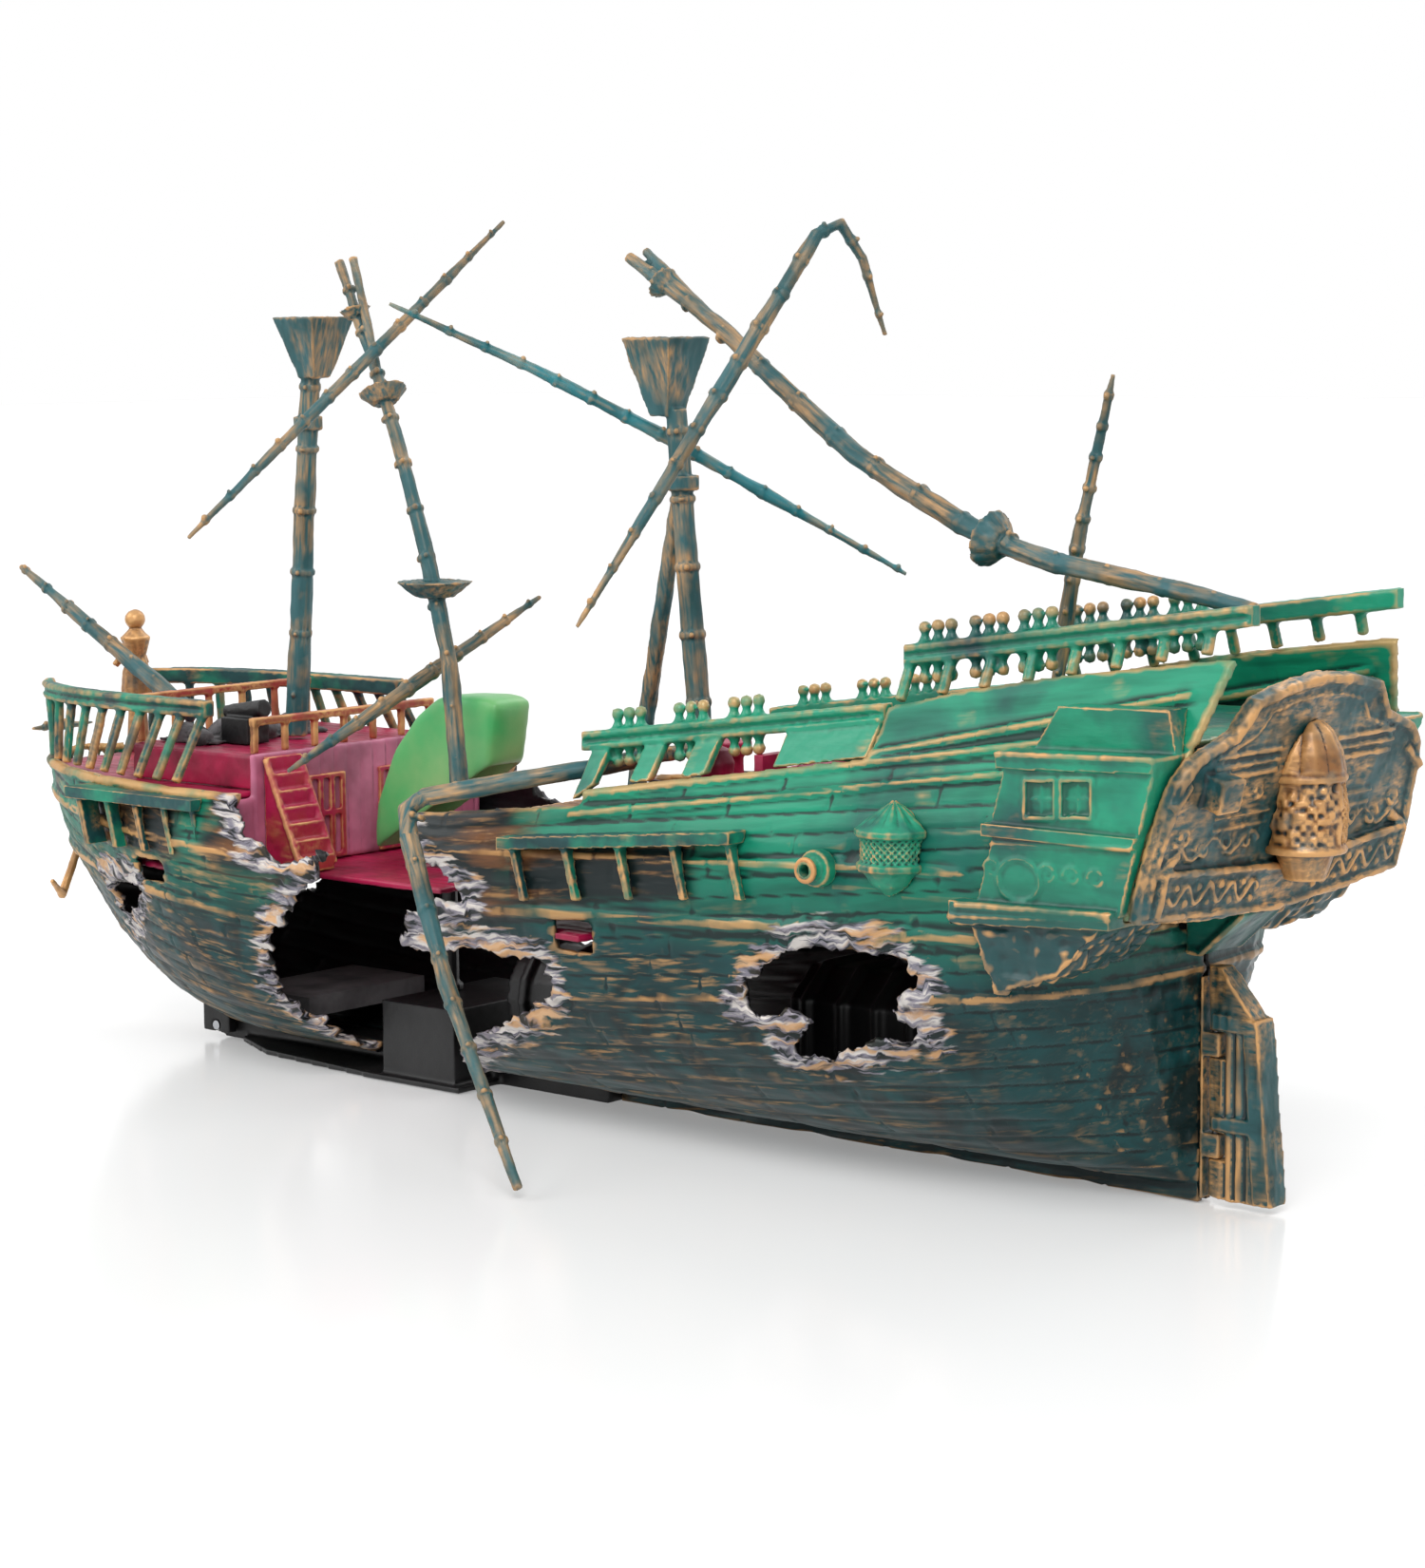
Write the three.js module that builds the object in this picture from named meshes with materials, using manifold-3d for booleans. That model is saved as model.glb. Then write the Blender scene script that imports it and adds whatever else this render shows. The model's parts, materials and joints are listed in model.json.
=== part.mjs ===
// Bubbling shipwreck ornament for an aquarium. The hull is broken in two: the stern half stands on a
// black base, and the bow half is hinged to that base at its forefoot. Air from the base rises into a
// bell on the bow half, lifts its broken end, spills out and lets it sink again. The rudder turns too.
// Millimetres; +X is aft, +Y is starboard, +Z is up, and the floor of the tank is z = 0.
import * as THREE from "three";
import { mergeVertices } from "three/addons/utils/BufferGeometryUtils.js";
import Module from "manifold-3d";

const wasm = await Module();
wasm.setup();

// ---------------------------------------------------------------- driving dimensions
const sternLength = 217;      // origin to the aft face of the sternpost
const bowLength = 221;        // origin to the stem
const halfBeam = 59;          // at the main wale
const gunwaleHeight = 155;    // floor to the aft end of the gunwale
const wall = 2.4;             // hull mouldings
const gap = 0.3;              // between pieces that touch
const keelThickness = 6;
const deckThickness = 2;
const railThickness = 4;
const mastRadius = 3.7;
const topmastRadius = 3;
const yardRadius = 2.1;
const hingePinRadius = 1.5;
const rudderPinRadius = 1;
const pinClearance = 0.3;
const baseArmHalfWidth = 8;
const baseArmHeight = 6;
const tubeBore = 1.6;         // inside radius of the air tube
const tubeWall = 1.2;

// The hull's lines are drawn once, at the sizes above, and follow the sizes from there.
const drawn = { stern: 217, bow: 221, beam: 59, height: 155 };
const along = (x) => x * (x < 0 ? bowLength / drawn.bow : sternLength / drawn.stern);
const out = (y) => y * halfBeam / drawn.beam;
const up = (z) => z * gunwaleHeight / drawn.height;
const at = (x, y, z) => new THREE.Vector3(along(x), out(y), up(z));

// ---------------------------------------------------------------- colours and finishes
const finish = {
  seaGreen: ["#35a27c", 0.5, 0.0],
  deepTeal: ["#1f5f59", 0.6, 0.0],
  goldTeal: ["#6f7350", 0.55, 0.1],
  gold: ["#b98a4b", 0.5, 0.3],
  slate: ["#3d4a4a", 0.65, 0.0],
  yardTeal: ["#2b7676", 0.6, 0.0],
  black: ["#17181a", 0.5, 0.0],
  magenta: ["#b81a5c", 0.45, 0.0],
  pink: ["#cf8fae", 0.5, 0.0],
  red: ["#a8342c", 0.5, 0.0],
  plank: ["#6b5138", 0.7, 0.0],
  bellGreen: ["#7fc98a", 0.4, 0.0],
  stone: ["#77777a", 0.9, 0.0],
  steel: ["#b9bcc0", 0.3, 1.0],
};
const group = new THREE.Group();

function add(name, geometry, look) {
  const [color, roughness, metalness] = finish[look];
  const mesh = new THREE.Mesh(geometry, new THREE.MeshStandardMaterial({ color, roughness, metalness }));
  mesh.name = name;
  group.add(mesh);
}

// ---------------------------------------------------------------- solids
function signedVolume(geometry) {
  const position = geometry.attributes.position;
  const corner = [0, 1, 2].map(() => new THREE.Vector3());
  let sum = 0;
  for (let i = 0; i < geometry.index.count; i += 3) {
    corner.forEach((point, k) => point.fromBufferAttribute(position, geometry.index.getX(i + k)));
    sum += corner[0].dot(corner[1].clone().cross(corner[2])) / 6;
  }
  return sum;
}

// A closed solid for cutting and joining, with its faces turned outwards.
function solid(geometry) {
  const bare = new THREE.BufferGeometry();
  bare.setAttribute("position", geometry.attributes.position.clone());
  if (geometry.index) bare.setIndex(geometry.index.clone());
  const merged = mergeVertices(bare, 1e-4);
  const triVerts = new Uint32Array(merged.index.array);
  if (signedVolume(merged) < 0) triVerts.reverse();
  const vertProperties = new Float32Array(merged.attributes.position.array);
  return new wasm.Manifold(new wasm.Mesh({ numProp: 3, vertProperties, triVerts }));
}

function geometryOf(body) {
  const mesh = body.getMesh();
  const geometry = new THREE.BufferGeometry();
  geometry.setAttribute("position", new THREE.BufferAttribute(new Float32Array(mesh.vertProperties), 3));
  geometry.setIndex(new THREE.BufferAttribute(new Uint32Array(mesh.triVerts), 1));
  geometry.computeVertexNormals();
  return geometry;
}

const join = (bodies) => bodies.reduce((whole, body) => whole.add(body));
const cut = (body, tools) => tools.reduce((rest, tool) => rest.subtract(tool), body);

function box(low, high) {
  const size = high.clone().sub(low);
  const geometry = new THREE.BoxGeometry(size.x, size.y, size.z);
  const centre = low.clone().add(high).multiplyScalar(0.5);
  return solid(geometry.translate(centre.x, centre.y, centre.z));
}

// A block given by its middle and its full sizes.
const block = (middle, x, y, z) => {
  const half = new THREE.Vector3(x, y, z).multiplyScalar(0.5);
  return box(middle.clone().sub(half), middle.clone().add(half));
};

const extruded = (points, depth) =>
  new THREE.ExtrudeGeometry(new THREE.Shape(points), { depth, bevelEnabled: false, steps: 1 });

// An outline of [x, z] points, made solid from y0 to y1.
function sidePrism(outline, y0, y1) {
  const points = outline.map(([x, z]) => new THREE.Vector2(along(x), up(z)));
  return solid(extruded(points, y1 - y0).rotateX(Math.PI / 2).translate(0, y1, 0));
}

// An outline of Vector2 points in x and y, made solid from z0 to z1.
const planPrism = (points, z0, z1) => solid(extruded(points, z1 - z0).translate(0, 0, z0));

// An outline of Vector2 points in y and z, made solid from x0 to x1.
function crossPrism(points, x0, x1) {
  const [x, y, z] = [[1, 0, 0], [0, 1, 0], [0, 0, 1]].map((axis) => new THREE.Vector3(...axis));
  const turned = extruded(points, x1 - x0).applyMatrix4(new THREE.Matrix4().makeBasis(y, z, x));
  return solid(turned.translate(x0, 0, 0));
}

// A round bar through a list of points, with a radius at each.
function rod(points, radii, sides = 8) {
  const span = points[points.length - 1].clone().sub(points[0]).normalize();
  const reference = Math.abs(span.z) > 0.7 ? new THREE.Vector3(1, 0, 0) : new THREE.Vector3(0, 0, 1);
  const position = [];
  const index = [];
  points.forEach((point, i) => {
    const before = points[Math.max(i - 1, 0)];
    const after = points[Math.min(i + 1, points.length - 1)];
    const ahead = after.clone().sub(before).normalize();
    const side = ahead.clone().cross(reference).normalize();
    const other = ahead.clone().cross(side);
    for (let j = 0; j < sides; j++) {
      const angle = 2 * Math.PI * j / sides;
      const spoke = side.clone().multiplyScalar(Math.cos(angle)).addScaledVector(other, Math.sin(angle));
      position.push(...point.clone().addScaledVector(spoke, radii[i]).toArray());
    }
  });
  const ring = (i, j) => i * sides + j % sides;
  const last = points.length - 1;
  for (let i = 0; i < last; i++) {
    for (let j = 0; j < sides; j++) {
      index.push(ring(i, j), ring(i, j + 1), ring(i + 1, j + 1));
      index.push(ring(i, j), ring(i + 1, j + 1), ring(i + 1, j));
    }
  }
  for (let j = 1; j < sides - 1; j++) {
    index.push(ring(0, 0), ring(0, j + 1), ring(0, j));
    index.push(ring(last, 0), ring(last, j), ring(last, j + 1));
  }
  const geometry = new THREE.BufferGeometry();
  geometry.setAttribute("position", new THREE.Float32BufferAttribute(position, 3));
  geometry.setIndex(index);
  return solid(geometry);
}

// A spar that is thickest in its middle and thin at both tips.
function yard(points, radius, tip = 0.7) {
  const lengths = points.map((point, i) => (i ? point.distanceTo(points[i - 1]) : 0));
  const run = lengths.map((_, i) => lengths.slice(0, i + 1).reduce((sum, length) => sum + length, 0));
  const total = run[run.length - 1];
  return rod(points, run.map((s) => tip + (radius - tip) * Math.sin(Math.PI * s / total)));
}

function straight(from, to, steps = 4) {
  return Array.from({ length: steps + 1 }, (_, i) => from.clone().lerp(to, i / steps));
}

function turned(profile, centre, sides = 12) {
  const points = profile.map(([radius, height]) => new THREE.Vector2(radius, height));
  return solid(new THREE.LatheGeometry(points, sides).rotateX(Math.PI / 2)
    .translate(centre.x, centre.y, centre.z));
}

// ---------------------------------------------------------------- lines of the hull
function read(table, value) {
  const next = table.findIndex(([key]) => key > value);
  if (next === 0) return table[0][1];
  if (next < 0) return table[table.length - 1][1];
  const [[k0, v0], [k1, v1]] = [table[next - 1], table[next]];
  return v0 + (v1 - v0) * (value - k0) / (k1 - k0);
}
const clamp = (value) => Math.min(1, Math.max(0, value));

const tumblehome = [[60, 57.5], [70, 59], [80, 58], [90, 54], [100, 49], [112, 42.5], [120, 39], [130, 36]];
const bilgeTop = 66;
const bilgeBottom = 4;
const bilgeBreadth = 57.5;
const halfKeel = keelThickness / 2;

function midship(z, rise) {
  if (z >= bilgeTop) return read(tumblehome, z - rise);
  const depth = clamp((bilgeTop - z) / (bilgeTop - bilgeBottom));
  return Math.max(halfKeel, bilgeBreadth * (1 - depth ** 2.4) ** 0.476);
}

// Stern half: the waterlines close on the sternpost below the counter and stay open above it.
const runStart = [[10, 60], [30, 110], [50, 165], [66, 185], [74, 200], [81, 216]];
const counterBottom = 74;
const counterTop = 81;
const counterX = 233;
const rakeSlope = 19.5 / 74;
const transomRake = Math.atan(rakeSlope * along(1) / up(1));
const aftEdge = (z) => (z <= counterBottom ? drawn.stern
  : z <= counterTop ? drawn.stern + 16 * (z - counterBottom) / (counterTop - counterBottom)
    : counterX + (z - counterTop) * rakeSlope);
const sternRailLine = [
  [-24, 86], [35, 93], [50, 94], [52, 98], [61, 99], [146.5, 112], [147.5, 125.5], [217, 142.5],
];

function sternBreadth(x, z) {
  const full = midship(z, 20 * clamp((x - 42) / 198));
  const start = read(runStart, z);
  const closing = clamp((x - start) / (drawn.stern - start));
  const closed = clamp((counterTop - z) / (counterTop - 70));
  const open = 1 - closed * (1 - Math.sqrt(1 - closing ** 2.5));
  return halfKeel + (full - halfKeel) * open;
}

const sternForm = {
  stations: [
    -24, -8, 8, 24, 40, 50, 52, 61, 80, 100, 120, 146.5, 147.5, 160, 172, 184, 194, 203, 210, 214, 217,
  ],
  rows: [0, 4, 5.5, 9, 15, 23, 33, 44, 55, 66, 74, 81, 0.33, 0.66, 1],
  point(station, row) {
    const z = row > 1 || row === 0 ? row : counterTop + (read(sternRailLine, station) - counterTop) * row;
    const x = station + (aftEdge(z) - drawn.stern) * clamp((station - 150) / 67) ** 2;
    return at(x, sternBreadth(Math.min(x, z > counterTop ? x : drawn.stern), z), z);
  },
};

// Bow half: the waterlines close on a raked stem and are fuller the higher they lie.
const stemLine = [[2, -142], [8.7, -162], [17.6, -182], [37, -207.5], [50, -216], [60, -220], [112, -222]];
const bowFullness = [[44, 1.7], [55, 1.8], [85, 2.4], [112, 5]];
const bowRoundness = [[44, 0.85], [55, 0.75], [85, 0.6]];
const bowSheer = 87;
const bowShoulder = -90;
const stemHalf = 2;

function bowBreadth(x, z) {
  const closing = clamp((bowShoulder - x) / (bowShoulder - read(stemLine, z)));
  const open = (1 - closing ** read(bowFullness, z)) ** read(bowRoundness, z);
  return stemHalf + (midship(z, 0) - stemHalf) * open;
}

const bowForm = {
  stations: [0, 0.1, 0.2, 0.3, 0.4, 0.5, 0.6, 0.7, 0.78, 0.85, 0.91, 0.96, 1],
  rows: [2, 4, 5.5, 9, 15, 23, 33, 44, 55, 66, 76, bowSheer],
  point(station, z) {
    const x = -40 + station * (read(stemLine, z) + 40);
    return at(x, bowBreadth(x, z), z);
  },
};

// The ring of each station runs up the outer face and down the inner one; rings are joined in order.
// With no thickness the hull is solid to its middle, and its outer face can be spread outwards.
function hullSolid(form, side, thickness = null, spread = 0) {
  const rings = form.stations.map((station) => {
    const outer = form.rows.map((row) => form.point(station, row));
    const inner = outer.map((point, k) => {
      const below = outer[Math.max(k - 1, 0)];
      const above = outer[Math.min(k + 1, outer.length - 1)];
      const rise = new THREE.Vector2(above.y - below.y, above.z - below.z).normalize();
      if (thickness === null) return point.clone().setY(gap / 2);
      const lift = thickness * rise.x;
      const y = point.y < halfKeel + 1 ? gap / 2 : Math.max(gap / 2, point.y - thickness * rise.y);
      return new THREE.Vector3(point.x, y, point.z + lift);
    });
    outer.forEach((point) => point.setY(point.y + spread));
    return [...outer, ...inner.reverse()];
  });
  const count = rings[0].length;
  const rows = count / 2;
  const index = [];
  const vertex = (i, k) => i * count + (k % count);
  for (let i = 0; i < rings.length - 1; i++) {
    for (let k = 0; k < count; k++) {
      index.push(vertex(i, k), vertex(i + 1, k), vertex(i + 1, k + 1));
      index.push(vertex(i, k), vertex(i + 1, k + 1), vertex(i, k + 1));
    }
  }
  const last = rings.length - 1;
  for (let k = 0; k < rows - 1; k++) {
    const [outerLow, outerHigh, innerLow, innerHigh] = [k, k + 1, count - 1 - k, count - 2 - k];
    index.push(vertex(0, outerLow), vertex(0, outerHigh), vertex(0, innerHigh));
    index.push(vertex(0, outerLow), vertex(0, innerHigh), vertex(0, innerLow));
    index.push(vertex(last, outerLow), vertex(last, innerHigh), vertex(last, outerHigh));
    index.push(vertex(last, outerLow), vertex(last, innerLow), vertex(last, innerHigh));
  }
  const geometry = new THREE.BufferGeometry();
  const position = rings.flat().flatMap((point) => [point.x, point.y * side, point.z]);
  geometry.setAttribute("position", new THREE.Float32BufferAttribute(position, 3));
  geometry.setIndex(index);
  return solid(geometry);
}
const sides = [["port", -1], ["starboard", 1]];

// ---------------------------------------------------------------- hull shells
const armSlot = (x0, x1, half, top) =>
  box(new THREE.Vector3(along(x0), -half, -1), new THREE.Vector3(along(x1), half, top));
const hinge = at(-145, 0, 4);
const hingeEyeRadius = 3.9;
const earInner = baseArmHalfWidth + 0.6;
const earOuter = earInner + 3.4;
const hingeSlot = box(
  new THREE.Vector3(along(-152), -earOuter - gap, -1),
  new THREE.Vector3(along(-138), earOuter + gap, up(15)));

// What is broken away from each side, as outlines of [x, z].
const sternBreak = {
  port: [
    [-30, 100], [-14, 100], [-14, 82], [-6, 74.5], [12.5, 65.5], [-10, 58.7], [-17, 51.6], [-11, 48],
    [14, 50.7], [37, 50.5], [41, 41.4], [30, 34], [-2.5, 22], [-16, 13], [-22.5, 7.5], [-30, 5],
  ],
  starboard: [
    [-30, 100], [-22, 94], [-20, 74], [-8, 66], [6, 54], [-6, 42], [16, 30], [0, 17], [-16, 8], [-30, 5],
  ],
};
const sternHole = [
  [110, 46.7], [114, 53.6], [127.5, 62.7], [149, 66], [164, 64.2], [170, 58.6], [160, 50],
  [169.5, 45.6], [135, 36], [123, 36], [133, 44],
];
const starboardHole = [[26, 54], [34, 62], [52, 60], [58, 52], [44, 46]];
const tabPort = [[45, 54.5], [59, 54.5], [59, 63], [45, 63]];
const bowBreak = {
  port: [
    [-30, 100], [-85, 100], [-85, 86], [-77, 75], [-62, 69.4], [-42, 73.4], [-63, 54], [-71, 46],
    [-77, 28.6], [-70, 18], [-66, 8], [-62, -5], [-30, -5],
  ],
  starboard: [
    [-30, 100], [-80, 100], [-80, 88], [-68, 78], [-56, 74], [-48, 66], [-60, 56], [-52, 48],
    [-70, 36], [-60, 20], [-68, 8], [-62, -5], [-30, -5],
  ],
};
const bowHole = [[-158, 54], [-140, 57], [-136, 52], [-148, 46], [-156, 38]];
const mooringPort = [[-133, 57], [-118, 57], [-118, 64], [-133, 64]];

// Only the side's own half of the hull is cut through.
const through = (outline, side) => {
  const reach = 2 * halfBeam;
  return side < 0 ? sidePrism(outline, -reach, 0) : sidePrism(outline, 0, reach);
};

for (const [name, side] of sides) {
  const holes = side < 0 ? [sternHole, tabPort] : [sternHole, starboardHole];
  const tools = [sternBreak[name], ...holes].map((outline) => through(outline, side));
  tools.push(armSlot(-40, 20, earInner, baseArmHeight + gap));
  add(`stern_shell_${name}`, geometryOf(cut(hullSolid(sternForm, side, wall), tools)), "seaGreen");
}
for (const [name, side] of sides) {
  const holes = side < 0 ? [bowHole, mooringPort] : [bowHole];
  const tools = [bowBreak[name], ...holes].map((outline) => through(outline, side));
  tools.push(armSlot(-150, -30, earInner, baseArmHeight + gap), hingeSlot);
  add(`bow_shell_${name}`, geometryOf(cut(hullSolid(bowForm, side, wall), tools)), "deepTeal");
}

// The closed outside of each side, used to fit outboard pieces against the planking.
const envelope = {};
for (const [name, side] of sides) {
  envelope[name] = {
    stern: hullSolid(sternForm, side, null, gap),
    bow: hullSolid(bowForm, side, null, gap),
  };
}

// ---------------------------------------------------------------- decks, from the inside of the hull
const insideWall = 1.35 * wall + gap;

function deckPlan(breadth, x0, x1, z, steps = 6) {
  const edge = Array.from({ length: steps + 1 }, (_, i) => {
    const x = x0 + (x1 - x0) * i / steps;
    const half = out(Math.min(breadth(x, z - 2), breadth(x, z + 2))) - insideWall;
    return new THREE.Vector2(along(x), half);
  });
  const mirrored = edge.map((point) => new THREE.Vector2(point.x, -point.y)).reverse();
  return [...edge, ...mirrored];
}
const deck = (breadth, x0, x1, z) =>
  planPrism(deckPlan(breadth, x0, x1, z), up(z) - deckThickness, up(z));
const bulkhead = (breadth, x, thickness, z0, z1) =>
  planPrism(deckPlan(breadth, x, x + thickness, z1, 1), up(z0), up(z1));

const waistZ = 84;
const quarterZ = 97;
const poopZ = 122;
const gunDeckZ = 59.5;
function sternDecks() {
  const brokenEdge = sidePrism([[-30, 90], [-6, 90], [-6, 70], [-30, 70]], -2 * halfBeam, -20);
  add("waist_deck", geometryOf(deck(sternBreadth, -10, 56, waistZ).subtract(brokenEdge)), "plank");
  const step = bulkhead(sternBreadth, 57, deckThickness, waistZ, quarterZ);
  add("quarter_deck", geometryOf(deck(sternBreadth, 57, 145, quarterZ).add(step)), "magenta");
  const poopFront = bulkhead(sternBreadth, 147.6, deckThickness, quarterZ, poopZ);
  add("poop_deck", geometryOf(deck(sternBreadth, 147.6, 236, poopZ).add(poopFront)), "seaGreen");
  const plate = deck(sternBreadth, 0, 92, gunDeckZ);
  const tab = block(at(52, -55, gunDeckZ).setZ(up(gunDeckZ) - deckThickness / 2), 9, out(9), deckThickness);
  add("gun_deck", geometryOf(plate.add(tab)), "magenta");
}
sternDecks();

const foreDeckZ = 96;
const wellZ = 62;
const cabinX = -91;
const riserX = -52;
const slotFront = -58;
const slotBack = -33;
const slotHalf = 5;
function bowDecks() {
  add("fore_deck", geometryOf(deck(bowBreadth, -206, cabinX - 1, foreDeckZ - 10.5)), "magenta");
  const half = out(bowBreadth(-80, wellZ)) - insideWall;
  const inner = deckPlan(bowBreadth, -140, -78, wellZ, 4);
  const plate = planPrism(inner, up(wellZ) - deckThickness, up(wellZ));
  const tail = box(
    new THREE.Vector3(along(-79), -0.62 * half, up(wellZ) - deckThickness),
    new THREE.Vector3(along(-22), 0.62 * half, up(wellZ)));
  const slot = box(
    new THREE.Vector3(along(slotFront), -slotHalf, up(wellZ) - 5),
    new THREE.Vector3(along(slotBack), slotHalf, up(wellZ) + 5));
  add("well_deck", geometryOf(plate.add(tail).subtract(slot)), "magenta");
  const wallPlate = bulkhead(bowBreadth, cabinX, 2, wellZ + gap, 84);
  const raised = box(
    new THREE.Vector3(along(cabinX), out(-44), up(83)),
    new THREE.Vector3(along(cabinX + 2), out(44), up(97)));
  add("cabin_wall", geometryOf(wallPlate.add(raised)), "pink");
  const roof = box(
    new THREE.Vector3(along(-152), out(-40), up(foreDeckZ) - deckThickness),
    new THREE.Vector3(along(cabinX) - gap, out(40), up(foreDeckZ)));
  const skirtFoot = up(foreDeckZ - 10.5) + gap;
  const skirts = [-1, 1].map((side) => block(
    at(-121, 39 * side, 90).setZ((skirtFoot + up(foreDeckZ)) / 2), 54, 2, up(foreDeckZ) - skirtFoot));
  add("forecastle_roof", geometryOf(join([roof, ...skirts])), "magenta");
}
bowDecks();

// A straight flight of closed steps, from the well deck up to the forecastle roof.
function cabinStairs() {
  const treads = 7;
  const front = along(cabinX + 2) + gap;
  const foot = front + 16;
  const rise = (up(96) - up(wellZ) - gap) / treads;
  const outline = [new THREE.Vector2(front, up(wellZ) + gap)];
  outline.push(new THREE.Vector2(foot, up(wellZ) + gap));
  for (let i = 0; i < treads; i++) {
    const x = foot - (foot - front) * i / treads;
    const z = up(wellZ) + gap + rise * (i + 1);
    outline.push(new THREE.Vector2(x, z), new THREE.Vector2(x - (foot - front) / treads, z));
  }
  const flight = solid(extruded(outline, 13).rotateX(Math.PI / 2).translate(0, out(-27), 0));
  add("cabin_stairs", geometryOf(flight), "gold");
}
cabinStairs();

// ---------------------------------------------------------------- rails: posts or boards under a beam
function rail({ breadth, x0, x1, posts = 0, lastPost = x1 - 2, boards = [], foot, top, side }) {
  const half = railThickness / 2;
  const inset = 0.5;
  const boardHalf = 1.6;
  const stations = Array.from({ length: 9 }, (_, i) => x0 + (x1 - x0) * i / 8);
  const centre = (x, z) => out(breadth(x, z)) - half - inset;
  const edge = (shift) => stations.map((x) => new THREE.Vector2(along(x), side * (centre(x, top(x)) + shift)));
  const plan = [...edge(half), ...edge(-half).reverse()];
  const roofLine = stations.map((x) => [x, top(x)]);
  const underside = stations.map((x) => [x, top(x) - 5]).reverse();
  const band = sidePrism([...roofLine, ...underside], -2 * halfBeam, 2 * halfBeam);
  const beam = planPrism(plan, 0, 2 * gunwaleHeight).intersect(band);
  const base = (x) => at(x, 0, foot(x)).setY(side * (out(breadth(x, foot(x))) - half - 0.2))
    .add(new THREE.Vector3(0, 0, 3 * gap));
  const head = (x) => at(x, 0, top(x) - 3).setY(side * centre(x, top(x)));
  const uprights = Array.from({ length: posts }, (_, i) => {
    const x = x0 + 2 + (lastPost - x0 - 2) * i / (posts - 1);
    return rod([base(x), head(x)], [boardHalf, boardHalf], 6);
  });
  const panels = boards.map(([front, back]) => {
    const corners = [base(front), head(front), base(back), head(back)];
    return wasm.Manifold.hull(corners.flatMap(({ x, y, z }) => [[x, y - boardHalf, z], [x, y + boardHalf, z]]));
  });
  return join([beam, ...uprights, ...panels]);
}

// Three wide posts, then a closed bulwark up to the poop.
const quarterBoards = [[47, 53], [66, 73], [84, 92], [115, 130], [129.5, 145.5]];
const quarterRailTop = (x) => 112 + (x - 42) * 0.135;
const poopRailTop = (x) => 140.5 + (x - 147.5) * 0.14;
const sternRailFoot = (x) => read(sternRailLine, x);
const poopFoot = (x) => 125.5 + (x - 147.5) * 0.178;
const foreRailTop = () => 111.5;

// ---------------------------------------------------------------- masts and spars
const slopingFoot = new THREE.Vector3(0, 0, 1.2);    // a leaning bar's foot has its low edge above the deck
const mainFoot = at(50.9, 0, waistZ).add(slopingFoot);
const mainHead = at(41, 0, 199);
const legFoot = at(17, 7, waistZ).add(slopingFoot);
const legHead = at(41.6, 1, 178);
const foreFoot = at(-117.5, 0, foreDeckZ).add(slopingFoot);
const foreHead = at(-107.5, 0, 209.5);

const mastParts = {
  main_mast: () => join([
    rod([mainFoot, mainHead], [mastRadius, 0.8 * mastRadius], 10),
    rod([legFoot, legHead], [0.75 * mastRadius, 0.6 * mastRadius], 8),
    turned([[0, -2], [5, -2], [5, 2], [0, 2]], mainFoot.clone().lerp(mainHead, 0.82), 10),
    mastTop(mainHead, -3.5, 22, 18),
  ]),
  foremast: () => join([
    rod([foreFoot, foreHead], [mastRadius, 0.8 * mastRadius], 10),
    turned([[0, -2], [4.6, -2], [4.6, 2], [0, 2]], foreFoot.clone().lerp(foreHead, 0.86), 10),
    mastTop(foreHead, 2, 18.5, 18),
  ]),
};

// A square funnel, open at its top, that stands on a masthead.
function mastTop(head, shift, height, width) {
  const neck = 7;
  const square = (topWidth, bottomWidth, low, high) => {
    const radius = (side) => side / Math.SQRT2;
    const geometry = new THREE.CylinderGeometry(radius(topWidth), radius(bottomWidth), high - low, 4);
    return solid(geometry.rotateY(Math.PI / 4).rotateX(Math.PI / 2).translate(0, 0, (low + high) / 2));
  };
  const outside = square(width, neck, 0, height);
  const inside = square(width - 2 * wall + 0.6, neck - 2 * wall + 0.6, 4, height + 0.4);
  const place = head.clone().add(new THREE.Vector3(shift, 0, -2));
  return outside.subtract(inside).translate([place.x, place.y, place.z]);
}

const fallenMain = [
  [246, -24.7, 153], [232, -23.2, 155.4], [210, -20.8, 158.4], [182.6, -17.7, 162],
  [163, -15.5, 166.5], [150, -14.1, 171.4], [130, -11.8, 179.7], [112.6, -9.9, 187.8],
  [95, -7.9, 199.2], [76.7, -5.9, 211.1],
  [62, -4.3, 221.4], [39, -1.7, 233.4], [24, 0, 241.5],
].map((point) => at(...point));
const fallenFore = [
  [-89, -4.3, 242.4], [-79.3, -7.1, 226.8], [-66.8, -10.6, 208.5], [-55.2, -13.9, 187.7],
  [-44.9, -16.9, 167.2], [-35.8, -19.5, 146.9], [-28, -21.9, 125.3], [-24, -23.5, 100], [-22.5, -24, 88],
].map((point) => at(...point));

// A small round platform, threaded on a spar.
function roundTop(centre, tilt, radius, height) {
  const profile = [[0, -height / 2], [0.5 * radius, -height / 2], [radius, height / 2], [0, height / 2]];
  const points = profile.map(([r, z]) => new THREE.Vector2(r, z));
  const geometry = new THREE.LatheGeometry(points, 12);
  const turn = new THREE.Quaternion().setFromUnitVectors(new THREE.Vector3(0, 1, 0), tilt.clone().normalize());
  return solid(geometry.applyQuaternion(turn).translate(centre.x, centre.y, centre.z));
}

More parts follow.
